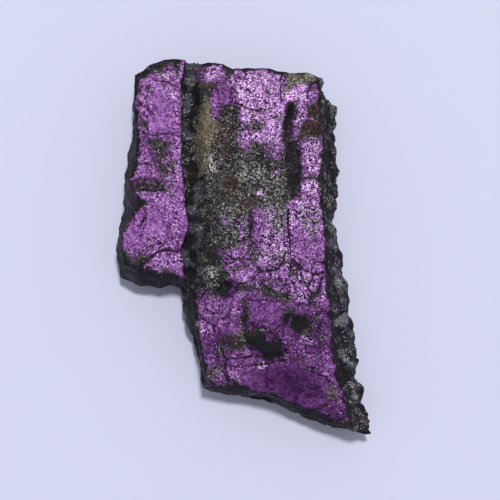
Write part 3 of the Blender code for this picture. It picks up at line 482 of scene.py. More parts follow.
class SpecimenGrains(bpy.types.PropertyGroup):
    """Sizes and colours of the grains that sit in the broken flank and the groove."""

    smallest: bpy.props.FloatProperty(
        name="Smallest", description="Half length of the smallest grain", default=0.04 * MM,
        min=0.02 * MM, max=1.0 * MM, unit="LENGTH", precision=5)
    largest: bpy.props.FloatProperty(
        name="Largest", description="Half length of the largest grain", default=0.13 * MM,
        min=0.05 * MM, max=2.0 * MM, unit="LENGTH", precision=5)
    quartz: tint("Quartz", "Colour of the quartz grains", (0.30, 0.30, 0.33))
    dark: tint("Dark grains", "Colour of the glossy black grains", (0.022, 0.022, 0.026))


class SpecimenStudio(bpy.types.PropertyGroup):
    """The floor, the lights and the camera."""

    floor: tint("Floor", "Colour of the plain floor", (0.70, 0.71, 0.89))
    floor_size: bpy.props.FloatProperty(
        name="Floor size", description="Length of one side of the floor", default=3.0, min=0.1, unit="LENGTH")
    key_power: bpy.props.FloatProperty(
        name="Key power", description="Power of the key light in watts", default=3.75, min=0.0, unit="POWER")
    key_size: bpy.props.FloatProperty(
        name="Key size", description="Diameter of the key light", default=0.075, min=0.001, unit="LENGTH")
    key_distance: bpy.props.FloatProperty(
        name="Key distance", description="Distance of the key light from the stone", default=0.8, min=0.05,
        unit="LENGTH")
    sky: tint("Sky", "Colour of the even light from all round", (0.92, 0.95, 1.0))
    sky_strength: bpy.props.FloatProperty(
        name="Sky strength", description="Strength of the even light from all round", default=0.42, min=0.0)


def way_along(points):
    """How far each point of a line of straight runs lies from its start, along the line."""
    runs = np.linalg.norm(np.diff(np.asarray(points, float), axis=0), axis=1)
    return np.concatenate([[0.0], np.cumsum(runs)])


def walk(points, fractions):
    """The places on a line of straight runs at these fractions of its length."""
    way = way_along(points)
    return np.stack([np.interp(fractions, way / way[-1], part) for part in zip(*points)], axis=-1)


def length(points):
    """The length of a line of straight runs."""
    return way_along(points)[-1]


def ease(low, high, value):
    """A smooth step from 0 at low to 1 at high."""
    t = np.clip((value - low) / (high - low), 0.0, 1.0)
    return t * t * (3.0 - 2.0 * t)


def dice(x, y, z, seed):
    """A repeatable number from 0 to 1 for each point with whole coordinates, by mixing their bits."""
    mixed = (x.astype(np.int64) * 73856093) ^ (y.astype(np.int64) * 19349663) ^ (z.astype(np.int64) * 83492791)
    mixed = (mixed + seed * 2654435761) & 0xFFFFFFFF
    mixed = ((mixed ^ (mixed >> 15)) * 2246822519) & 0xFFFFFFFF
    mixed = ((mixed ^ (mixed >> 13)) * 3266489917) & 0xFFFFFFFF
    return (mixed ^ (mixed >> 16)).astype(float) / 0xFFFFFFFF


def lumps(x, y, z, size, seed):
    """Smooth noise from -1 to 1: random values on a lattice of this size, blended between its corners."""
    place = np.stack(np.broadcast_arrays(x, y, z)).astype(float) / size
    corner = np.floor(place)
    part = place - corner
    part = part * part * (3.0 - 2.0 * part)
    total = 0.0
    for step in np.ndindex(2, 2, 2):
        shares = [part[k] if step[k] else 1.0 - part[k] for k in range(3)]
        total = total + shares[0] * shares[1] * shares[2] * dice(*(corner[k] + step[k] for k in range(3)), seed)
    return 2.0 * total - 1.0


def scattered(x, y, size, seed):
    """The plane is parted in squares of this size, each with a centre at a random place in it. This gives, for the
    nine squares round each place in turn, which square it is and how far its centre lies from the place."""
    for across, along in np.ndindex(3, 3):
        cx, cy = np.floor(x / size) + across - 1, np.floor(y / size) + along - 1
        square = (cx, cy, np.zeros_like(cx))
        px = (cx + 0.1 + 0.8 * dice(*square, seed)) * size - x
        py = (cy + 0.1 + 0.8 * dice(*square, seed + 1)) * size - y
        yield square, px, py


def plates(x, y, size, seed):
    """Broken facets from -1 to 1: each place belongs to the nearest scattered centre, and each centre's part is a
    tilted plate."""
    nearest, height = np.full(np.shape(x), np.inf), np.zeros(np.shape(x))
    for square, px, py in scattered(x, y, size, seed):
        away = px * px + py * py
        tilt, lean, lift = (2.0 * dice(*square, seed + k) - 1.0 for k in (2, 3, 4))
        plate = 0.5 * lift + 0.7 * (tilt * px + lean * py) / size
        height = np.where(away < nearest, plate, height)
        nearest = np.minimum(nearest, away)
    return height


def domes(x, y, size, seed):
    """Round knobs from 0 to 1 about scattered centres, with sharp valleys where two of them meet."""
    nearest = np.full(np.shape(x), np.inf)
    for _, px, py in scattered(x, y, size, seed):
        nearest = np.minimum(nearest, px * px + py * py)
    return np.clip(1.0 - 2.0 * nearest / size ** 2, 0.0, 1.0)


def from_centre(x, y, spot):
    """How far a place lies from an ellipse's centre, where the ellipse's edge is at 1 in every direction."""
    cx, cy, half_length, half_width, turn = spot
    cos, sin = np.cos(np.radians(turn)), np.sin(np.radians(turn))
    u = ((x - cx) * cos + (y - cy) * sin) / half_length
    v = ((y - cy) * cos - (x - cx) * sin) / half_width
    return np.hypot(u, v)


def run_distance(x, y, start, end):
    """Distance in mm from a straight run."""
    run = np.subtract(end, start)
    along = ((x - start[0]) * run[0] + (y - start[1]) * run[1]) / (run @ run)
    along = np.clip(along, 0.0, 1.0)
    return np.hypot(x - start[0] - along * run[0], y - start[1] - along * run[1])


def line_distance(x, y, points):
    """Distance in mm from the nearest of a line's straight runs."""
    nearest = np.full(np.shape(x), np.inf)
    for start, end in zip(points[:-1], points[1:]):
        nearest = np.minimum(nearest, run_distance(x, y, start, end))
    return nearest


def area(x, y, outline):
    """How far a place lies inside a closed outline, in mm: below 0 outside. A place is inside where a line from it
    to the right crosses the outline an odd number of times."""
    nearest = line_distance(x, y, outline + outline[:1])
    inside = np.zeros(np.shape(x), bool)
    for (ax, ay), (bx, by) in zip(outline, outline[1:] + outline[:1]):
        if ay != by:
            inside ^= ((ay > y) != (by > y)) & (x < ax + (y - ay) * (bx - ax) / (by - ay))
    return np.where(inside, nearest, -nearest)


def marked(x, y, areas, spots, soft):
    """The strongest mark at each place, where each fades over its edge by this many mm. A small spot fades over
    less."""
    strongest = np.zeros(np.shape(x))
    for outline, strength in areas:
        strongest = np.maximum(strongest, strength * ease(-soft, soft, area(x, y, outline)))
    for *spot, strength in spots:
        smaller = min(spot[2:4])
        fade = min(soft, 0.8 * smaller)
        inside = (1.0 - from_centre(x, y, spot)) * smaller
        strongest = np.maximum(strongest, strength * ease(-fade, fade, inside))
    return strongest


def groove_across(x, y):
    """How far a place lies to the right of the groove's left line, which is drawn a little wavy."""
    line = np.asarray(GROOVE_LINE)
    wave = 0.10 * lumps(0.0, y, 0.0, 0.9, 32) + 0.07 * lumps(0.0, y, 0.0, 0.4, 33)
    return x + wave - np.interp(y, line[:, 1], line[:, 0])


def groove_depth(x, y):
    """How deep the groove is here: a steep wall on its left line, a flat floor and a round right shoulder."""
    across = groove_across(x, y)
    floor = ease(0.0, LEFT_WALL, across) * (1.0 - ease(GROOVE_WIDTH - 0.3, GROOVE_WIDTH + RIGHT_SHOULDER, across))
    lowest = GROOVE_LINE[0][1]
    return GROOVE_DEPTH * floor * ease(lowest - 3.5, lowest - 1.0, y)


def hollow_depth(x, y):
    """The sum of the hollows: each is deepest in its ellipse and eases out to nothing at its edge."""
    depth = 0.0
    for *spot, deepest in HOLLOWS:
        depth = depth + deepest * (1.0 - ease(0.55, 1.15, from_centre(x, y, spot)))
    return depth


def ledge_drop(x, y):
    """The sum of the cleavage steps: the face drops to the right of each line, and the step ends where the line
    does."""
    drop = 0.0
    for start, end, height in LEDGES:
        run = np.subtract(end, start)
        span = np.hypot(*run)
        along = ((x - start[0]) * run[0] + (y - start[1]) * run[1]) / span
        right = ((x - start[0]) * run[1] - (y - start[1]) * run[0]) / span
        ends = ease(-1.0, 1.0, along) * (1.0 - ease(span - 1.0, span + 1.0, along))
        drop = drop + height * ends * ease(0.0, 0.4, right) * (1.0 - ease(3.0, 6.0, right))
    return drop


def face_height(x, y):
    """The upper face: two levels with the groove between, less hollows and steps, with broken plates and lumps."""
    on_main = ease(-0.1, 0.1, groove_across(x, y))
    level = SIDE_FACE + (MAIN_FACE - SIDE_FACE) * on_main
    fall = FALL_SLOPE * np.maximum(FALL_FROM - y, 0.0)
    grain = 0.16 * plates(x, y, 3.1, 11) + 0.12 * lumps(x, y, 0.0, 1.9, 21)
    rough = 0.25 * groove_depth(x, y) / GROOVE_DEPTH * lumps(x, y, 0.0, 1.2, 31)
    hollows = hollow_depth(*wander(x, y, 0.0))
    return level - fall - groove_depth(x, y) - hollows - ledge_drop(x, y) + grain + rough


def under_height(x, y):
    """The underside: exactly flat inside the resting ellipse, and rising with lumps to the foot outside it."""
    away = np.hypot((x - FLAT_CENTRE[0]) / FLAT_HALF_SIZE[0], (y - FLAT_CENTRE[1]) / FLAT_HALF_SIZE[1])
    rise = ease(1.0, 1.7, away)
    return rise * (FOOT + 0.35 * plates(x, y, 3.6, 41))


def crust_relief(x, y):
    """The height of the crust's own lumps and plates, which are bigger in the groove."""
    even = 0.075 * lumps(x, y, 0.0, 0.55, 121) + 0.045 * lumps(x, y, 0.0, 0.30, 131)
    even = even + 0.05 * plates(x, y, 0.6, 141)
    deep = groove_depth(x, y) / GROOVE_DEPTH
    knobs = 0.40 * (domes(x, y, 1.6, 142) - 0.6) + 0.10 * (domes(x, y, 0.6, 143) - 0.6)
    return even * (1.0 - 0.4 * deep) + deep * knobs


def fine_relief(x, y, marks):
    """The small shapes of the face: thin flakes on the purple, lumps and pebbles in the crust, and cracks."""
    crust, gap = np.clip(marks["crust"], 0.0, 1.0), marks["gap"]
    flakes = 0.060 * plates(x, y, 0.9, 101) + 0.030 * plates(x, y, 0.45, 111)
    pebbles = 0.0
    for *spot, height in PEBBLES:
        round_top = np.sqrt(np.clip(1.0 - from_centre(x, y, spot) ** 2, 0.0, 1.0))
        pebbles = np.maximum(pebbles, height * round_top)
    return (1.0 - crust) * flakes + crust * (crust_relief(x, y) - 0.06) + pebbles - 0.10 * gap ** 4


def wander(x, y, z):
    """Places moved a little by noise, so that the marks get ragged edges."""
    east = 0.28 * lumps(x, y, z, 0.9, 201) + 0.16 * lumps(x, y, z, 0.35, 203)
    north = 0.28 * lumps(x, y, z, 0.9, 202) + 0.16 * lumps(x, y, z, 0.35, 204)
    return x + east, y + north


def rim_line():
    """The rim of the upper face as one closed line."""
    points = [point for side in SIDES for point in side["rim"][:-1]]
    return points + points[:1]


# The kinds of mark, which are the names of the attributes that the stone's material reads
KINDS = ("crust", "gap", "pale", "tan", "rust", "slate", "spark", "quartz", "slant", "ribbed")


def all_kinds(like, **given):
    """One array for each kind of mark, as long as this one. A kind that isn't given is 0 throughout."""
    return {kind: np.zeros(np.shape(like)) + given.get(kind, 0.0) for kind in KINDS}


def crack_marks(x, y):
    """How near each place is to a crack: 1 in it, and less to its sides until the mark has faded at 0."""
    x, y = x + 0.07 * lumps(x, y, 0.0, 0.4, 206), y + 0.07 * lumps(x, y, 0.0, 0.4, 207)
    gap = np.zeros(np.shape(x))
    for half_width, points in CRACKS:
        beside = np.maximum(line_distance(x, y, points) - half_width, 0.0)
        gap = np.maximum(gap, 1.0 - beside / CRACK_FADE)
    return gap


def face_marks(x, y):
    """The marks on the upper face."""
    wx, wy = wander(x, y, 0.0)
    across, sunk = groove_across(x, y), groove_depth(x, y) / GROOVE_DEPTH
    from_rim = line_distance(wx, wy, rim_line())
    lobe = ease(-12.0, -14.0, x) * ease(3.5, 2.5, y) * ease(-2.0, -1.0, y)

    # Crust lies in patches, in a band along the rim that is thin on the left lobe, and all over the groove, and
    # the upper edge of the groove's left wall is free of it
    crust = marked(wx, wy, CRUST_AREAS, CRUST_SPOTS, 0.9)
    purple = marked(wx, wy, PURPLE_AREAS, PURPLE_SPOTS, 0.6)
    band = (0.30 + 0.20 * lumps(x, y, 0.0, 2.2, 205)) * (1.0 - 0.75 * lobe)
    crust = np.maximum(crust * (1.0 - purple), 1.0 - ease(0.6 * band, 1.3 * band, from_rim))
    off_edge = np.where(across < 0.0, ease(-0.2, -0.8, across), 1.0)
    crust = np.maximum(crust * off_edge, 1.1 * ease(0.1, 0.4, sunk) * (across < 1.5))
    clean = marked(wx, wy, CLEAN_AREAS, [], 1.8)
    crust = crust - 0.35 * clean

    # Painted shade and light: the crust is painted darker in its hollows, in the groove and in a band along the
    # rim except on the left lobe, and paler on its tops, and the knobs in the groove are painted slate on their
    # tops with black valleys between them. The blackest spots and the clean purple spark less.
    dark = np.maximum(marked(wx, wy, [], DARK_SPOTS, 0.5), 0.30 * (1.0 - lobe) * (1.0 - ease(0.1, 0.7, from_rim)))
    dark = dark + 0.28 * clean + 0.08 * sunk
    dark = dark - (1.3 + 0.6 * sunk) * crust_relief(x, y) * np.clip(crust, 0.0, 1.0)
    knobs = 1.5 * sunk * ease(0.25, 0.95, domes(x, y, 1.6, 142)) * ease(-6.0, -3.0, y)
    knobs = knobs * ease(-0.6, 0.4, lumps(x, y, 0.0, 1.5, 208))

    pale = EVEN_PALE + marked(wx, wy, PALE_AREAS, PALE_SPOTS, 0.5) - marked(wx, wy, DEEP_AREAS, DEEP_SPOTS, 1.8)
    off_wall = ease(1.75, 2.0, np.where(across < -0.3, 3.0, across))
    return all_kinds(
        x, crust=crust, gap=crack_marks(x, y), pale=np.clip(pale, 0.0, 1.0),
        tan=marked(wx, wy, TAN_AREAS, TAN_SPOTS, 0.7) * off_wall,
        rust=marked(wx, wy, RUST_AREAS, RUST_SPOTS, 0.9),
        slate=np.maximum(marked(wx, wy, SLATE_AREAS, SLATE_SPOTS, 0.4), knobs),
        spark=np.maximum(EVEN_SPARK, marked(wx, wy, SPARK_AREAS, SPARK_SPOTS, 0.8)) - dark,
        slant=ease(-7.0, -8.0, x))


def flank_marks(x, y, z, sideways, raised):
    """The marks on the broken flank: crust all over, slate on the left and in the notch, and paler streaks on the
    ribbed right. The parts that are raised most are paler, as painted light, and those between them are black, as
    painted shade. The flank is also darker towards the lower tip."""
    left = ease(-12.0, -14.0, x)
    notch = ease(-12.0, -10.0, y) * ease(-5.5, -6.5, y) * ease(-5.0, -5.8, x) * ease(-8.6, -8.0, x)
    ribbed = ease(0.5, 0.9, sideways)
    streaks = 0.12 + 0.48 * ease(0.1, 0.6, lumps(0.5 * x, 1.6 * y, z, 1.1, 211))
    even_slate = (0.75 * left + notch) * (0.65 + 0.5 * lumps(x, y, z, 1.4, 215))
    # Painted light and shade: the raised ribs and knobs are made paler and the places between them black
    light = 0.05 * ribbed * ease(10.0, 6.0, y) - 0.13 + (0.8 + 2.0 * ribbed) * raised
    return all_kinds(
        x, crust=np.clip(0.86 + 0.3 * lumps(x, y, z, 1.3, 212), 0.0, 1.0), pale=0.25,
        tan=0.35 * ease(0.4, 0.8, lumps(x, y, z, 2.4, 213)),
        rust=0.35 * ease(0.3, 0.8, lumps(x, y, z, 2.8, 214)),
        slate=np.maximum(even_slate, ribbed * ease(8.0, 3.0, y) * streaks),
        spark=np.clip(light, -0.40, 0.62) - 0.25 * ease(-20.0, -21.5, y),
        quartz=marked(*wander(x, y, z), [], QUARTZ_SPOTS, 0.5) * ease(1.5, 3.5, z), ribbed=ribbed)


def under_marks(x, y):
    """The marks on the underside: dull crust with patches of deep purple, as on the hidden back of such a slab."""
    def cloud(size, seed):
        """Noise of this size on the underside."""
        return lumps(x, y, 5.0, size, seed)

    return all_kinds(
        x, crust=np.clip(0.62 + 0.55 * cloud(4.5, 221) + 0.25 * cloud(1.6, 222), 0.0, 1.0),
        pale=np.clip(0.34 + 0.2 * cloud(3.4, 223), 0.0, 1.0), tan=0.5 * ease(0.2, 0.8, cloud(3.8, 224)),
        rust=0.5 * ease(0.1, 0.8, cloud(3.1, 225)), slate=0.3 * ease(0.2, 0.8, cloud(2.7, 226)), spark=0.10,
        quartz=0.6 * ease(0.45, 0.8, cloud(2.9, 227)))


def crowded(span, step, places):
    """Fractions from 0 to 1 about a step apart, with more of them near these places, by adding up a density. There
    is an even number of steps, so that every other one can be left out."""
    at = np.linspace(0.0, span, 2001)
    density = np.ones_like(at)
    for place in places:
        density += 2.0 * np.exp(-(((at - place) / 0.5) ** 2))
    total = np.concatenate([[0.0], np.cumsum(0.5 * (density[1:] + density[:-1]))])
    count = 2 * int(round(0.5 * total[-1] * (at[1] - at[0]) / step))
    return np.interp(np.linspace(0.0, total[-1], count + 1), total, at) / span


def patch(u, v, bottom, right, top, left):
    """Points inside four edge lines, by blending across and along them and taking the corners' share off."""
    u, v = u[None, :, None], v[:, None, None]
    across = (1.0 - u) * left[:, None] + u * right[:, None]
    along = (1.0 - v) * bottom[None] + v * top[None]
    corners = (1.0 - v) * ((1.0 - u) * bottom[0] + u * bottom[-1]) + v * ((1.0 - u) * top[0] + u * top[-1])
    return across + along - corners


class Layout:
    """The grid in the shape of an L: the rows and columns of the two slabs, and the loop round their edge.

    The loop runs counter-clockwise from the main slab's lower left. Its seven sides are named in SIDES.
    """

    def __init__(self, step):
        notch, side = length(NOTCH["rim"]), length(GROOVE_LINE)
        self.side_columns = crowded(length(SIDE_LOWER["rim"]), step, [length(SIDE_LOWER["rim"])])
        self.main_columns = crowded(length(TOP["rim"]), step, [0.0, GROOVE_WIDTH])
        self.notch_rows = crowded(notch, step, [])
        self.side_rows = crowded(side, step, [])
        share = notch / (notch + side)
        self.main_rows = np.concatenate([share * self.notch_rows, share + (1.0 - share) * self.side_rows[1:]])
        self.column = len(self.side_columns) - 1
        self.row = len(self.notch_rows) - 1
        self.last_column = self.column + len(self.main_columns) - 1
        self.last_row = len(self.main_rows) - 1
        self.fractions = [self.main_columns, self.main_rows, 1.0 - self.main_columns[::-1],
                          1.0 - self.side_columns[::-1], 1.0 - self.side_rows[::-1], self.side_columns,
                          1.0 - self.notch_rows[::-1]]
        self.starts = np.cumsum([0] + [len(part) - 1 for part in self.fractions])

    def places(self):
        """Row and column in the grid of each point of the loop."""
        rows, columns = np.arange(self.last_row + 1), np.arange(self.last_column + 1)
        runs = [
            (0, columns[self.column:-1]),
            (rows[:-1], self.last_column),
            (self.last_row, columns[:self.column:-1]),
            (self.last_row, columns[self.column:0:-1]),
            (rows[:self.row:-1], 0),
            (self.row, columns[:self.column]),
            (rows[self.row:0:-1], self.column),
        ]
        return np.concatenate([np.stack(np.broadcast_arrays(*run), axis=-1) for run in runs])

    def around(self, line):
        """The loop's points in plan, on the edge line of each side that has this name: rim or girdle."""
        return np.concatenate([walk(side[line], part)[:-1] for side, part in zip(SIDES, self.fractions)])

    def each(self, key, reach):
        """One value of each side for every point of the loop, eased over the corners."""
        values = np.repeat([side[key] for side in SIDES], np.diff(self.starts))
        return sum(np.roll(values, shift) for shift in range(-reach, reach + 1)) / (2.0 * reach + 1.0)

    def fill(self, loop):
        """The grid's points in plan, from the loop and the groove's line drawn between its two ends."""
        closed = np.concatenate([loop, loop[:1]])
        lower, right, top, side_top, side_left, side_lower, notch = [
            closed[first:last + 1] for first, last in zip(self.starts[:-1], self.starts[1:])
        ]
        groove = walk(GROOVE_LINE, self.side_rows)
        rest = self.side_rows[:, None]
        groove = groove + (1.0 - rest) * (notch[0] - groove[0]) + rest * (top[-1] - groove[-1])
        points = np.full((self.last_row + 1, self.last_column + 1, 2), np.nan)
        wall = np.concatenate([notch[::-1], groove[1:]])
        points[:, self.column:] = patch(self.main_columns, self.main_rows, lower, right, top[::-1], wall)
        points[self.row:, :self.column + 1] = patch(self.side_columns, self.side_rows, side_lower, groove,
                                                    side_top[::-1], side_left[::-1])
        return points


def outward(loop, reach):
    """Unit vectors that point out of a counter-clockwise loop in plan, square to the run between the two points
    that lie this many places before and after."""
    run = np.roll(loop, -reach, axis=0) - np.roll(loop, reach, axis=0)
    square = np.stack([run[:, 1], -run[:, 0]], axis=-1)
    return square / np.linalg.norm(square, axis=1, keepdims=True)


def flank(layout, rows, reach, rim, girdle, foot):
    """Rings of points from the rim over the widest line to the foot, broken into ribs, facets and lumps, and how
    far each point is raised by the ribs and the finest shapes.

    Each ring lies a share of the way down. It keeps to the slope given by turn above the widest line, curves in
    under it, and is then moved outwards by the broken surface, which fades at the rim and at the foot. Where that
    would stand out, three quarters of it are taken off, and the finest knobs, plates and lumps are added.
    """
    square = outward(girdle[:, :2], reach)
    turn, ribbed = layout.each("turn", reach)[:, None], layout.each("ribs", reach)
    way = way_along(girdle[:, :2])
    rings, raised = [], []
    for down in np.arange(1, rows) / rows:
        if down < 0.5:
            plan = rim[:, :2] + (girdle[:, :2] - rim[:, :2]) * (2.0 * down) ** turn
            height = rim[:, 2] + (girdle[:, 2] - rim[:, 2]) * 2.0 * down
        else:
            plan = girdle[:, :2] + (foot[:, :2] - girdle[:, :2]) * (2.0 * down - 1.0) ** 2
            height = girdle[:, 2] + (foot[:, 2] - girdle[:, 2]) * (2.0 * down - 1.0)
        smoothed = [plates(way + aside, RIB_LEAN * height, RIB_PITCH, 71) for aside in (-0.4, -0.2, 0.0, 0.2, 0.4)]
        ribs = ribbed * RIB_DEPTH * (np.mean(smoothed, axis=0) - 0.45)
        faces = (1.0 - ribbed) * FACET_DEPTH * plates(way, height, FACET_SIZE, 81)
        bump = ribs + faces + FLANK_LUMPS * lumps(plan[:, 0], plan[:, 1], height, 1.6, 51)
        bump = bump - 0.75 * np.maximum(bump - 0.05, 0.0)
        slope = way - 0.4 * height
        fine = (0.16 + 0.26 * ribbed) * (domes(slope, 0.6 * height, 1.5, 145) - 0.6)
        fine = fine + (0.06 + 0.06 * ribbed) * (domes(slope, height, 0.6, 151) - 0.6)
        fine = fine + 0.05 * ribbed * lumps(slope, 0.3 * height, 0.0, 0.5, 161)
        fine = fine + 0.02 * plates(slope, height, 0.5, 171) + 0.02 * lumps(way, height, 0.0, 0.30, 181)
        moved = np.sin(np.pi * down) * bump + np.sin(np.pi * down) ** 0.35 * fine
        rings.append(np.column_stack([plan + square * moved[:, None], height]))
        raised.append(fine + 0.30 * (ribs + 0.20 * ribbed))
    return rings, np.concatenate(raised)


def numbered(kept, first):
    """A number for each kept point of a grid, row by row from the first."""
    return np.cumsum(kept).reshape(kept.shape) - 1 + first


def grid_faces(kept, number):
    """The four-sided faces of the cells whose corners are all kept, counter-clockwise from above."""
    corners = np.s_[:-1, :-1], np.s_[:-1, 1:], np.s_[1:, 1:], np.s_[1:, :-1]
    cell = np.logical_and.reduce([kept[corner] for corner in corners])
    return np.stack([number[corner][cell] for corner in corners], axis=-1)


def stone_surface(step, rows, relief):
    """The whole skin of the stone at this spacing: points, faces, a map place for each corner, and the marks.

    The upper face is the full grid and the underside every other row and column of it. The flank's last row of
    faces has five corners each, to join the two.
    """
    layout = Layout(step)
    reach = max(2, int(round(0.9 / step)))
    row, column = layout.places().T
    face = layout.fill(layout.around("rim"))
    kept = ~np.isnan(face[..., 0])
    x, y = face[kept].T
    marks = face_marks(x, y)
    height = np.full(kept.shape, np.nan)
    height[kept] = face_height(x, y) + relief * fine_relief(x, y, marks)
    face = np.dstack([face, height])

    girdle = layout.around("girdle")
    foot = girdle - outward(girdle, reach) * layout.each("inset", reach)[:, None]
    under = layout.fill(foot)
    ux, uy = under[kept].T
    height[kept] = under_height(ux, uy)
    under = np.dstack([under, height])
    widest = WIDEST_LINE + 0.5 * lumps(girdle[:, 0], girdle[:, 1], 0.0, 3.0, 61)
    girdle = np.column_stack([girdle, widest])
    rings, raised = flank(layout, rows, reach, face[row, column], girdle, under[row, column])

    count, around = int(kept.sum()), len(row)
    coarse = kept[::2, ::2]
    number, lower = numbered(kept, 0), numbered(coarse, count + around * len(rings))
    side_points, under_points = np.concatenate(rings), under[::2, ::2][coarse]
    points = np.concatenate([face[kept], side_points, under_points])

    ring = np.concatenate([[number[row, column]], count + np.arange(around * len(rings)).reshape(-1, around)])
    after = np.roll(ring, -1, axis=1)
    flank_faces = np.stack([ring[:-1], ring[1:], after[1:], after[:-1]], axis=-1).reshape(-1, 4)
    last, join = ring[-1], lower[row[::2] // 2, column[::2] // 2]
    join_faces = [last[::2], join, np.roll(join, -1), np.roll(last, -2)[::2], np.roll(last, -1)[::2]]
    faces = [grid_faces(kept, number), flank_faces, np.stack(join_faces, axis=-1),
             grid_faces(coarse, lower)[:, [0, 3, 2, 1]]]

    # The flank's marks fade into those of the rim over its uppermost rings
    side_marks = flank_marks(*side_points.T, np.tile(layout.each("ribs", reach), len(rings)), raised)
    near_rim = np.exp(-np.arange(1, rows) / (0.02 * rows))[:, None]
    low_marks = under_marks(*under_points[:, :2].T)
    for kind, values in marks.items():
        spread = side_marks[kind].reshape(len(rings), around)
        spread = spread + (values[number[row, column]] - spread) * near_rim
        marks[kind] = np.concatenate([values, spread.ravel(), low_marks[kind]])
    return points, faces, map_places(layout, points, faces, around, rows), marks


# The stone's map: the upper face fills its left, two strips of the flank its right, and the underside the corner
# that the notch leaves free. Scales are shares of the map for each millimetre.
MAP_SCALE = 0.0211
MAP_CORNER = (-15.9, -23.3)
STRIP_SCALE = 0.0131
STRIP_LEFT = 0.685
STRIP_GAP = 0.155
STRIP_HEIGHT = 11.0
UNDER_SCALE = 0.0049
FACE_MARGIN = 0.004
STRIP_MARGIN = 0.008


def map_places(layout, points, faces, around, rows):
    """The place in the map of every corner of every face, in the order of the faces."""
    upper = MAP_SCALE * (points[faces[0]][..., :2] - MAP_CORNER) + FACE_MARGIN
    lower = UNDER_SCALE * (points[faces[-1]][..., :2] - MAP_CORNER) + FACE_MARGIN
    girdle = layout.around("girdle")
    way = way_along(np.concatenate([girdle, girdle[:1]]))
    half = around // 2
    half -= half % 2
    strip = (np.arange(around) >= half).astype(int)
    start = way[strip * half]
    across = STRIP_LEFT + STRIP_GAP * strip
    down = STRIP_SCALE * STRIP_HEIGHT * np.arange(rows + 1) / rows

    def corners(places):
        """The corners of faces, from the places down and along of each: one array for each in turn."""
        return np.stack([np.stack(np.broadcast_arrays(*place), axis=-1) for place in places], axis=-2)

    left, right = (STRIP_MARGIN + STRIP_SCALE * (part - start) for part in (way[:-1], way[1:]))
    top, bottom = across + down[:-2, None], across + down[1:-1, None]
    sides = corners([(top, left), (bottom, left), (bottom, right), (top, right)])
    top, bottom = across[::2] + down[-2], across[::2] + down[-1]
    left, middle, right = (
        STRIP_MARGIN + STRIP_SCALE * (way[k:][::2][:around // 2] - start[::2]) for k in (0, 1, 2))
    joins = corners([(top, left), (bottom, left), (bottom, right), (top, right), (top, middle)])
    return np.concatenate([part.reshape(-1, 2) for part in (upper, sides, joins, lower)])


def grain_shape(rings, sides):
    """A rounded block on a grid of directions: points of the surface |x|^4 + |y|^4 + |z|^4 = 1, with two poles."""
    down = np.pi * (np.arange(rings) + 1.0) / (rings + 1.0)
    turn = 2.0 * np.pi * (np.arange(sides) + 0.5) / sides
    down, turn = np.meshgrid(down, turn, indexing="ij")
    ring = np.stack([np.sin(down) * np.cos(turn), np.sin(down) * np.sin(turn), np.cos(down)], axis=-1)
    points = np.concatenate([[[0.0, 0.0, 1.0]], ring.reshape(-1, 3), [[0.0, 0.0, -1.0]]])
    points = points / (np.abs(points) ** 4).sum(axis=1, keepdims=True) ** 0.25
    faces = []
    last = len(points) - 1
    for k in range(sides):
        after = (k + 1) % sides
        faces.append((0, 1 + k, 1 + after))
        for j in range(rings - 1):
            upper, lower = 1 + j * sides, 1 + (j + 1) * sides
            faces.append((upper + k, lower + k, lower + after, upper + after))
        faces.append((1 + (rings - 1) * sides + k, last, 1 + (rings - 1) * sides + after))
    return points, faces


def turned(random, count):
    """Random turns in space as matrices, from random unit quaternions."""
    quaternions = random.normal(size=(count, 4))
    w, x, y, z = (quaternions / np.linalg.norm(quaternions, axis=1, keepdims=True)).T
    rows = [
        [1 - 2 * (y * y + z * z), 2 * (x * y - z * w), 2 * (x * z + y * w)],
        [2 * (x * y + z * w), 1 - 2 * (x * x + z * z), 2 * (y * z - x * w)],
        [2 * (x * z - y * w), 2 * (y * z + x * w), 1 - 2 * (x * x + y * y)],
    ]
    return np.array(rows).transpose(2, 0, 1)


def grain_cluster(places, sizes, seed):
    """Grains at these places: each is the rounded block, squashed and jostled at random and then turned. This
    gives their points, their faces and the number of points in each."""
    random = np.random.default_rng(seed)
    shape, faces = grain_shape(2, 6)
    count = len(places)
    stretch = random.uniform(0.55, 1.25, size=(count, 1, 3))
    jostle = random.uniform(0.78, 1.15, size=(count, len(shape), 1))
    points = shape[None] * stretch * jostle * sizes[:, None, None]
    points = points @ turned(random, count).transpose(0, 2, 1) + places[:, None]
    starts = np.arange(count) * len(shape)
    all_faces = [[start + corner for corner in face] for start in starts.tolist() for face in faces]
    return points.reshape(-1, 3), all_faces, len(shape)


class Value:
    """A number in a node tree. Arithmetic on it adds the Math nodes that work it out."""

    def __init__(self, recipe, socket):
        self.recipe, self.socket = recipe, socket

    def math(self, operation, *others):
        """What one Math node gives for this number and the others."""
        parts = [other.socket if isinstance(other, Value) else other for other in (self, *others)]
        return Value(self.recipe, self.recipe.node("ShaderNodeMath", {"operation": operation}, *parts).outputs[0])

    def __add__(self, other):
        return self.math("ADD", other)

    __radd__ = __add__

    def __mul__(self, other):
        return self.math("MULTIPLY", other)

    __rmul__ = __mul__

    def __sub__(self, other):
        return self.math("SUBTRACT", other)

    def __rsub__(self, other):
        return self * -1.0 + other

    def most(self, other):
        """The larger of the two."""
        return self.math("MAXIMUM", other)

    def slope(self, low, high):
        """A straight slope from 0 at low to 1 at high, level outside them."""
        return Value(self.recipe, self.recipe.node("ShaderNodeMapRange", None, self, low, high).outputs[0])

    def step(self, low, high):
        """A smooth step from 0 at low to 1 at high."""
        settings = {"interpolation_type": "SMOOTHSTEP"}
        return Value(self.recipe, self.recipe.node("ShaderNodeMapRange", settings, self, low, high).outputs[0])


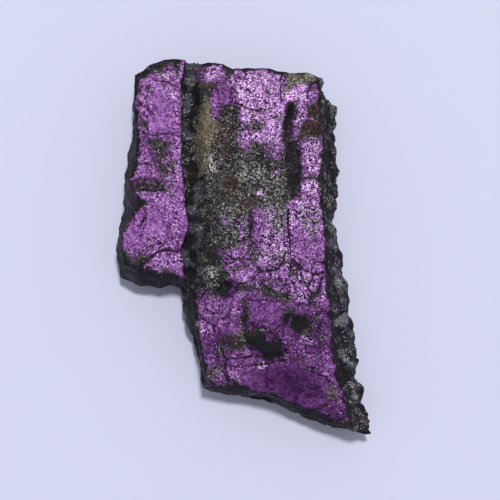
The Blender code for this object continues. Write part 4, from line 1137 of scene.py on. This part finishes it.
class Recipe:
    """One material under construction, with short ways to add its nodes."""

    def __init__(self, name):
        self.material = bpy.data.materials.new(name)
        self.material.use_nodes = True
        self.tree = self.material.node_tree
        self.shader = self.tree.nodes["Principled BSDF"]

    def node(self, kind, settings=None, *places, **named):
        """A node of this kind: its settings first, then values or links for its sockets, in order or by name."""
        made = self.tree.nodes.new(kind)
        for key, value in (settings or {}).items():
            setattr(made, key, value)
        for key, value in [*enumerate(places), *named.items()]:
            self.put(made.inputs[key], value)
        return made

    def put(self, socket, value):
        """Sets a socket to a number, a colour with or without its alpha or a vector, or links it."""
        source = value.socket if isinstance(value, Value) else value
        if isinstance(source, bpy.types.NodeSocket):
            self.tree.links.new(source, socket)
        elif socket.type == "RGBA" and len(source) == 3:
            socket.default_value = (*source, 1.0)
        else:
            socket.default_value = source

    def attribute(self, name):
        """One of the numbers that the mesh carries at each point."""
        return Value(self, self.node("ShaderNodeAttribute", {"attribute_name": name}).outputs["Fac"])

    def vector(self, operation, *places, **named):
        """What one Vector Math node gives."""
        return self.node("ShaderNodeVectorMath", {"operation": operation}, *places, **named).outputs[0]

    def place(self, scale=(1.0, 1.0, 1.0), turn=0.0):
        """Object coordinates in millimetres, stretched by this scale and turned about +Z by so many degrees."""
        source = self.node("ShaderNodeTexCoord").outputs["Object"]
        settings = {"vector_type": "TEXTURE"}
        around = self.node("ShaderNodeMapping", settings, Vector=source, Rotation=(0.0, 0.0, np.radians(turn)))
        return self.vector("MULTIPLY", around.outputs[0], tuple(1000.0 * part for part in scale))

    def noise(self, place, scale, detail, roughness):
        """Cloudy noise, about 0.5 on average."""
        made = self.node("ShaderNodeTexNoise", None, Vector=place, Scale=scale, Detail=detail, Roughness=roughness)
        return Value(self, made.outputs["Fac"])

    def cells(self, place, scale):
        """Random cells: a number for each cell from 0 to 1, a colour for each, and the distance inside it."""
        made = self.node("ShaderNodeTexVoronoi", {"feature": "F1"}, Vector=place, Scale=scale, Randomness=1.0)
        parts = self.node("ShaderNodeSeparateColor", None, made.outputs["Color"])
        return Value(self, parts.outputs[0]), made.outputs["Color"], Value(self, made.outputs["Distance"])

    def edges(self, place, scale):
        """The distance from the nearest edge between random cells."""
        settings = {"feature": "DISTANCE_TO_EDGE"}
        made = self.node("ShaderNodeTexVoronoi", settings, Vector=place, Scale=scale, Randomness=1.0)
        return Value(self, made.outputs["Distance"])

    def warp(self, place, scale, amount):
        """Places moved about by noise, so that the cells in them get crooked edges."""
        made = self.node("ShaderNodeTexNoise", None, Vector=place, Scale=scale, Detail=2.0)
        return self.pushed(place, made.outputs["Color"], amount)

    def pushed(self, place, colour, amount):
        """A place or a direction, moved by how far a colour lies from middle grey, times an amount."""
        away = self.vector("SUBTRACT", colour, (0.5, 0.5, 0.5))
        return self.vector("ADD", place, self.vector("SCALE", away, Scale=amount))

    def mix(self, share, first, second):
        """A colour between two colours."""
        made = self.node("ShaderNodeMix", {"data_type": "RGBA"})
        self.put(made.inputs[0], share)
        self.put(made.inputs[6], first)
        self.put(made.inputs[7], second)
        return made.outputs[2]

    def ramp(self, value, stops):
        """A colour that runs through these stops: each is a value and the colour there."""
        low, colour = stops[0]
        for high, following in stops[1:]:
            colour = self.mix(value.slope(low, high), colour, following)
            low = high
        return colour

    def tilted(self, *tilts):
        """The surface's normal, tilted in each cell by its own random colour times an amount."""
        normal = self.node("ShaderNodeNewGeometry").outputs["Normal"]
        for colour, amount in tilts:
            normal = self.pushed(normal, colour, amount)
        return self.vector("NORMALIZE", normal)

    def finish(self, colour, roughness, metallic, normal):
        """Feeds the surface's shader."""
        fed = {"Base Color": colour, "Roughness": roughness, "Metallic": metallic, "Normal": normal}
        for key, value in fed.items():
            if value is not None:
                self.put(self.shader.inputs[key], value)
        return self.material


def stone_material(colours):
    """Satin violet flakes under a crust, split by what the marks and fine noise say at each place."""
    recipe = Recipe("purpurite_stone")
    plain = recipe.place()
    crooked = recipe.warp(plain, 1.6, 0.5)
    crust, gap, pale, tan, rust, slate, spark, quartz, slant, ribbed = (recipe.attribute(kind) for kind in KINDS)

    broad = recipe.noise(plain, 0.9, 5.0, 0.65) - 0.5
    fine = recipe.noise(plain, 3.2, 4.0, 0.7) - 0.5
    grit = recipe.noise(plain, 9.0, 2.0, 0.6) - 0.5
    slanting = recipe.noise(recipe.place((0.55, 2.8, 1.0), -56.0), 1.0, 4.0, 0.65) - 0.5
    upright = recipe.noise(recipe.place((0.60, 2.2, 1.0), 84.0), 1.0, 4.0, 0.65) - 0.5
    ribs = recipe.noise(recipe.place((0.80, 2.8, 1.6), 24.0), 1.0, 4.0, 0.65) - 0.5
    streak = slanting * slant + upright * (1.0 - slant)
    flake, flake_colour, _ = recipe.cells(crooked, 1.7)
    chip, chip_colour, chip_in = recipe.cells(crooked, 4.4)
    crumb, crumb_colour, _ = recipe.cells(crooked, 7.5)
    seam = recipe.edges(crooked, 1.15)
    # Painted glints: on a few small cells, more of them where the spark marks are high, a highlight is painted
    # nearly white into the colour; the same cells give dark specks
    shiny, _, shiny_in = recipe.cells(plain, 5.6)
    inner = (0.42 - shiny_in).step(0.0, 0.16)
    painted_glint = inner * (shiny + spark * 0.50 + pale * 0.10 + ribbed * 0.17 - tan * 0.07).step(0.98, 1.06)
    speck = inner * (spark * 0.35 + 0.16 - shiny).step(0.0, 0.05) * (1.0 - ribbed)

    # The crust spreads from its marks in ragged specks, which thin out into the purple
    ragged = broad * 1.6 + fine * 2.1 + streak * 1.0 + (chip - 0.5) * 0.34 + (crumb - 0.5) * 0.22
    covered = (crust + ragged).step(0.40, 0.60)
    seamed = (0.07 - seam + fine * 0.20).step(0.0, 0.05) * (broad - streak).step(0.02, 0.16)
    seamed = seamed * (spark * 0.9 + 0.35) * (1.0 - covered)
    cracked = (gap + fine * 0.9 + broad * 0.9).step(0.80, 0.92).most(seamed)

    # Light and dark from speck to speck, strongest where the small crystals glitter
    grain = (chip - 0.5) * 1.5 + (crumb - 0.5) * 2.2
    texture = grain * (1.0 - slant * 0.3) + (flake - 0.5) * 0.30 + fine * 2.2 + grit * 2.0 + broad * 0.7
    texture = texture + streak * (slant + 1.0) + ribs * ribbed * 3.0
    swing = (spark * 1.15 + pale * 0.50 + 0.02).most(0.08)

    # The purple runs from black over deep violet, violet and lilac to nearly white, and its palest specks are
    # painted highlights in the shine colour
    shade = pale + texture * swing + (crumb - 0.5) * pale * 0.40
    purple = recipe.ramp(shade, [(-0.35, colours.crust), (0.02, colours.deep), (0.50, colours.violet),
                                 (0.95, colours.lilac), (1.40, colours.shine)])

    # The crust runs from black over olive to grey, and is stained tan, rust or slate
    shade = spark * (ribbed * 0.25 + 0.55) + 0.01 + texture * (spark * 0.45 + 0.24 - ribbed * 0.12).most(0.06)
    dirt = recipe.ramp(shade, [(0.05, colours.crust), (0.45, colours.olive), (0.85, colours.ash),
                               (1.15, colours.spark)])
    lit = (texture * 0.6 + 0.55).step(0.0, 1.1)
    soft = lit * 0.7 + 0.34
    stains = (slate, colours.slate, 0.8, soft), (rust, colours.rust, 0.8, lit), (tan, colours.tan, 0.9, soft)
    for mark, colour, most, seen in stains:
        share = (mark * 1.1 + broad * 1.2 + fine * 1.4 - 0.1).step(0.1, 0.9) * most
        dirt = recipe.mix(share * seen, dirt, colour)
    milky = (quartz + broad * 0.9 + fine * 0.9).step(0.40, 0.75)
    dirt = recipe.mix(milky * (0.15 + chip * 0.85), dirt, colours.quartz)

    colour = recipe.mix(covered, purple, dirt)
    colour = recipe.mix(speck * 0.6, colour, colours.deep)
    # Painted highlights: the glints are painted lilac-white on the bare purple and grey-white on the crust
    colour = recipe.mix(painted_glint * 0.85, colour, recipe.mix(covered, colours.shine, colours.spark))
    colour = recipe.mix(cracked * 0.92, colour, (0.006, 0.005, 0.007))

    # Bare purple has a satin shine, and each flake, chip and crumb leans its own way
    bare = (1.0 - covered) * (1.0 - cracked)
    roughness = 0.80 - bare * 0.34 + (crumb - 0.5) * 0.10
    tilts = [(flake_colour, 0.16 + bare * 0.08), (chip_colour, 0.20 + spark * 0.30), (crumb_colour, 0.30)]
    normal = recipe.tilted(*tilts)
    height = fine * 0.6 + grit * 0.35 + streak * 0.6 + ribs * ribbed
    height = height - covered * 0.30 - cracked * 0.8 - chip_in * 0.12
    bump = recipe.node("ShaderNodeBump", None, Strength=0.55, Distance=0.06 * MM, Height=height, Normal=normal)
    recipe.shader.inputs["Specular IOR Level"].default_value = 0.15
    return recipe.finish(colour, roughness, bare * 0.55, bump.outputs[0])


def grain_material(name, colour, roughness, shine):
    """Grains that differ a little in shade, with fine scratches in their faces."""
    recipe = Recipe(name)
    plain = recipe.place()
    cloud = recipe.noise(plain, 3.0, 4.0, 0.65)
    light = (recipe.attribute("shade") + (cloud - 0.5) * 0.8).step(0.0, 1.0)
    paint = recipe.mix(light, tuple(0.18 * part for part in colour), colour)
    scratch = recipe.noise(plain, 14.0, 2.0, 0.5)
    bump = recipe.node("ShaderNodeBump", None, Strength=0.3, Distance=0.02 * MM, Height=scratch)
    recipe.shader.inputs["Specular IOR Level"].default_value = shine
    return recipe.finish(paint, roughness + (cloud - 0.5) * 0.3, None, bump.outputs[0])


def new_piece(name, points, faces, material, smooth):
    """A mesh object at the origin, with its points given in millimetres."""
    mesh = bpy.data.meshes.new(name)
    mesh.from_pydata((points * MM).tolist(), [], faces)
    mesh.polygons.foreach_set("use_smooth", np.full(len(mesh.polygons), smooth))
    mesh.materials.append(material)
    mesh.update()
    piece = bpy.data.objects.new(name, mesh)
    bpy.context.scene.collection.objects.link(piece)
    return piece


def add_marks(piece, marks):
    """Writes named arrays, with one number for each point, to the mesh as attributes."""
    for name, values in marks.items():
        piece.data.attributes.new(name, "FLOAT", "POINT").data.foreach_set("value", values.astype(np.float32))


def add_map(piece, places):
    """Gives the mesh its map, from the place of every corner."""
    layer = piece.data.uv_layers.new(name="OFBake")
    layer.uv.foreach_set("vector", places.astype(np.float32).ravel())


class SpecimenAddStone(bpy.types.Operator):
    """Draw the stone on its fine grid, with its marks and its material"""

    bl_idname = "specimen.add_stone"
    bl_label = "Stone"

    def execute(self, context):
        settings = context.scene.specimen_stone
        points, faces, places, marks = stone_surface(settings.spacing / MM, settings.flank_rows, settings.relief)
        listed = [face for part in faces for face in part.tolist()]
        stone = new_piece("purpurite_stone", points, listed, stone_material(settings), True)
        add_marks(stone, marks)
        add_map(stone, places)
        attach(stone, BODY)
        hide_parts(NODE)
        return {"FINISHED"}


# How many grains there are, and where they may sit on the right flank: beyond this X and between these heights
QUARTZ_GRAINS = 160
DARK_GRAINS = 1100
FLANK_FROM = 9.6
FLANK_HEIGHTS = (1.2, 8.3)


class SpecimenAddGrains(bpy.types.Operator):
    """Set quartz and dark grains in the broken flank and the groove"""

    bl_idname = "specimen.add_grains"
    bl_label = "Grains"

    def execute(self, context):
        settings = context.scene.specimen_grains
        stone = bpy.data.objects["purpurite_stone"]
        random = np.random.default_rng(7)
        co = np.empty(len(stone.data.vertices) * 3, np.float32)
        stone.data.vertices.foreach_get("co", co)
        co = co.reshape(-1, 3) / MM
        x, y, z = co.T
        flank_places = (x > FLANK_FROM) & (z > FLANK_HEIGHTS[0]) & (z < FLANK_HEIGHTS[1])
        line = np.asarray(GROOVE_LINE)
        across = x - np.interp(y, line[:, 1], line[:, 0])
        groove_places = (across > 0.3) & (across < 2.0) & (y > -6.0) & (z > 6.0)
        quartz_places = marked(x, y, [], QUARTZ_SPOTS, 0.5) > 0.2
        kinds = [
            ("quartz_grains", flank_places & quartz_places, QUARTZ_GRAINS, settings.quartz, 0.35, 0.5, 11),
            ("dark_grains", flank_places | groove_places, DARK_GRAINS, settings.dark, 0.30, 0.5, 12),
        ]
        for name, allowed, count, colour, roughness, shine, seed in kinds:
            chosen = random.choice(np.flatnonzero(allowed), size=count, replace=False)
            sizes = random.uniform(settings.smallest, settings.largest, count) / MM
            points, faces, per_grain = grain_cluster(co[chosen], sizes, seed)
            grains = new_piece(name, points, faces, grain_material(name, colour, roughness, shine), False)
            add_marks(grains, {"shade": np.repeat(random.uniform(0.0, 1.0, count), per_grain)})
            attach(grains, BODY)
        return {"FINISHED"}


# The camera stands where the photographer's did, in millimetres from the stone's origin, and looks almost straight
# down. Its turns are about X, Y and Z, in degrees, and the lens is given for a sensor 36 mm wide.
CAMERA_PLACE = (-10.18, -29.32, 209.50)
CAMERA_TURNS = (8.017, -3.021, -0.098)
LENS = 120.5
SENSOR_WIDTH = 36.0

# The direction from the stone to the key light: nearly overhead, and a little to the upper side of the photograph
KEY_HEADING = (0.012, 0.139, 0.990)


class SpecimenAddStage(bpy.types.Operator):
    """Add the floor, the lights and the camera"""

    bl_idname = "specimen.add_stage"
    bl_label = "Stage"

    def execute(self, context):
        settings = context.scene.specimen_studio
        half = 0.5 * settings.floor_size
        corners = np.array([(-half, -half, 0.0), (half, -half, 0.0), (half, half, 0.0), (-half, half, 0.0)]) / MM
        recipe = Recipe("floor")
        cloud = recipe.noise(recipe.place(), 0.05, 2.0, 0.5)
        paler = tuple(min(1.0, 1.02 * part) for part in settings.floor)
        paint = recipe.mix(cloud, settings.floor, paler)
        recipe.shader.inputs["Specular IOR Level"].default_value = 0.1
        floor = new_piece("floor", corners, [(0, 1, 2, 3)], recipe.finish(paint, 0.9, None, None), False)

        heading = Vector(KEY_HEADING).normalized()
        light = bpy.data.lights.new("key", "AREA")
        light.shape = "DISK"
        light.size = settings.key_size
        light.energy = settings.key_power
        key = bpy.data.objects.new("key", light)
        key.location = heading * settings.key_distance
        key.rotation_euler = heading.to_track_quat("Z", "Y").to_euler()
        context.scene.collection.objects.link(key)

        world = bpy.data.worlds.new("sky")
        world.use_nodes = True
        background = world.node_tree.nodes["Background"]
        background.inputs["Color"].default_value = (*settings.sky, 1.0)
        background.inputs["Strength"].default_value = settings.sky_strength
        context.scene.world = world
        context.scene.view_settings.view_transform = "Standard"

        lens = bpy.data.cameras.new("camera")
        lens.sensor_width = SENSOR_WIDTH
        lens.lens = LENS
        lens.clip_start = 0.01
        camera = bpy.data.objects.new("camera", lens)
        camera.location = Vector(CAMERA_PLACE) * MM
        camera.rotation_euler = [np.radians(turn) for turn in CAMERA_TURNS]
        context.scene.collection.objects.link(camera)
        context.scene.camera = camera
        return {"FINISHED"}


class SpecimenPanel(bpy.types.Panel):
    """The steps that build the specimen, with their settings"""

    bl_idname = "VIEW3D_PT_specimen"
    bl_label = "Purpurite specimen"
    bl_space_type = "VIEW_3D"
    bl_region_type = "UI"
    bl_category = "Specimen"

    def draw(self, context):
        for name, group, operator in STEPS:
            settings = getattr(context.scene, name)
            box = self.layout.box()
            for key in group.__annotations__:
                box.prop(settings, key)
            box.operator(operator.bl_idname)


# The steps: the name of the settings in the scene, their kind, and the operator that reads them
STEPS = [
    ("specimen_stone", SpecimenStone, SpecimenAddStone),
    ("specimen_grains", SpecimenGrains, SpecimenAddGrains),
    ("specimen_studio", SpecimenStudio, SpecimenAddStage),
]
CLASSES = [kind for _, *kinds in STEPS for kind in kinds] + [SpecimenPanel]


def register():
    for kind in CLASSES:
        bpy.utils.register_class(kind)
    for name, group, _ in STEPS:
        setattr(bpy.types.Scene, name, bpy.props.PointerProperty(type=group))


def unregister():
    for name, *_ in STEPS:
        delattr(bpy.types.Scene, name)
    for kind in reversed(CLASSES):
        bpy.utils.unregister_class(kind)


def main():
    for name in ("Cube", "Light", "Camera"):
        if name in bpy.data.objects:
            bpy.data.objects.remove(bpy.data.objects[name], do_unlink=True)
    register()
    bpy.ops.specimen.add_stone()
    bpy.ops.specimen.add_grains()
    bpy.ops.specimen.add_stage()


if __name__ == "__main__":
    main()
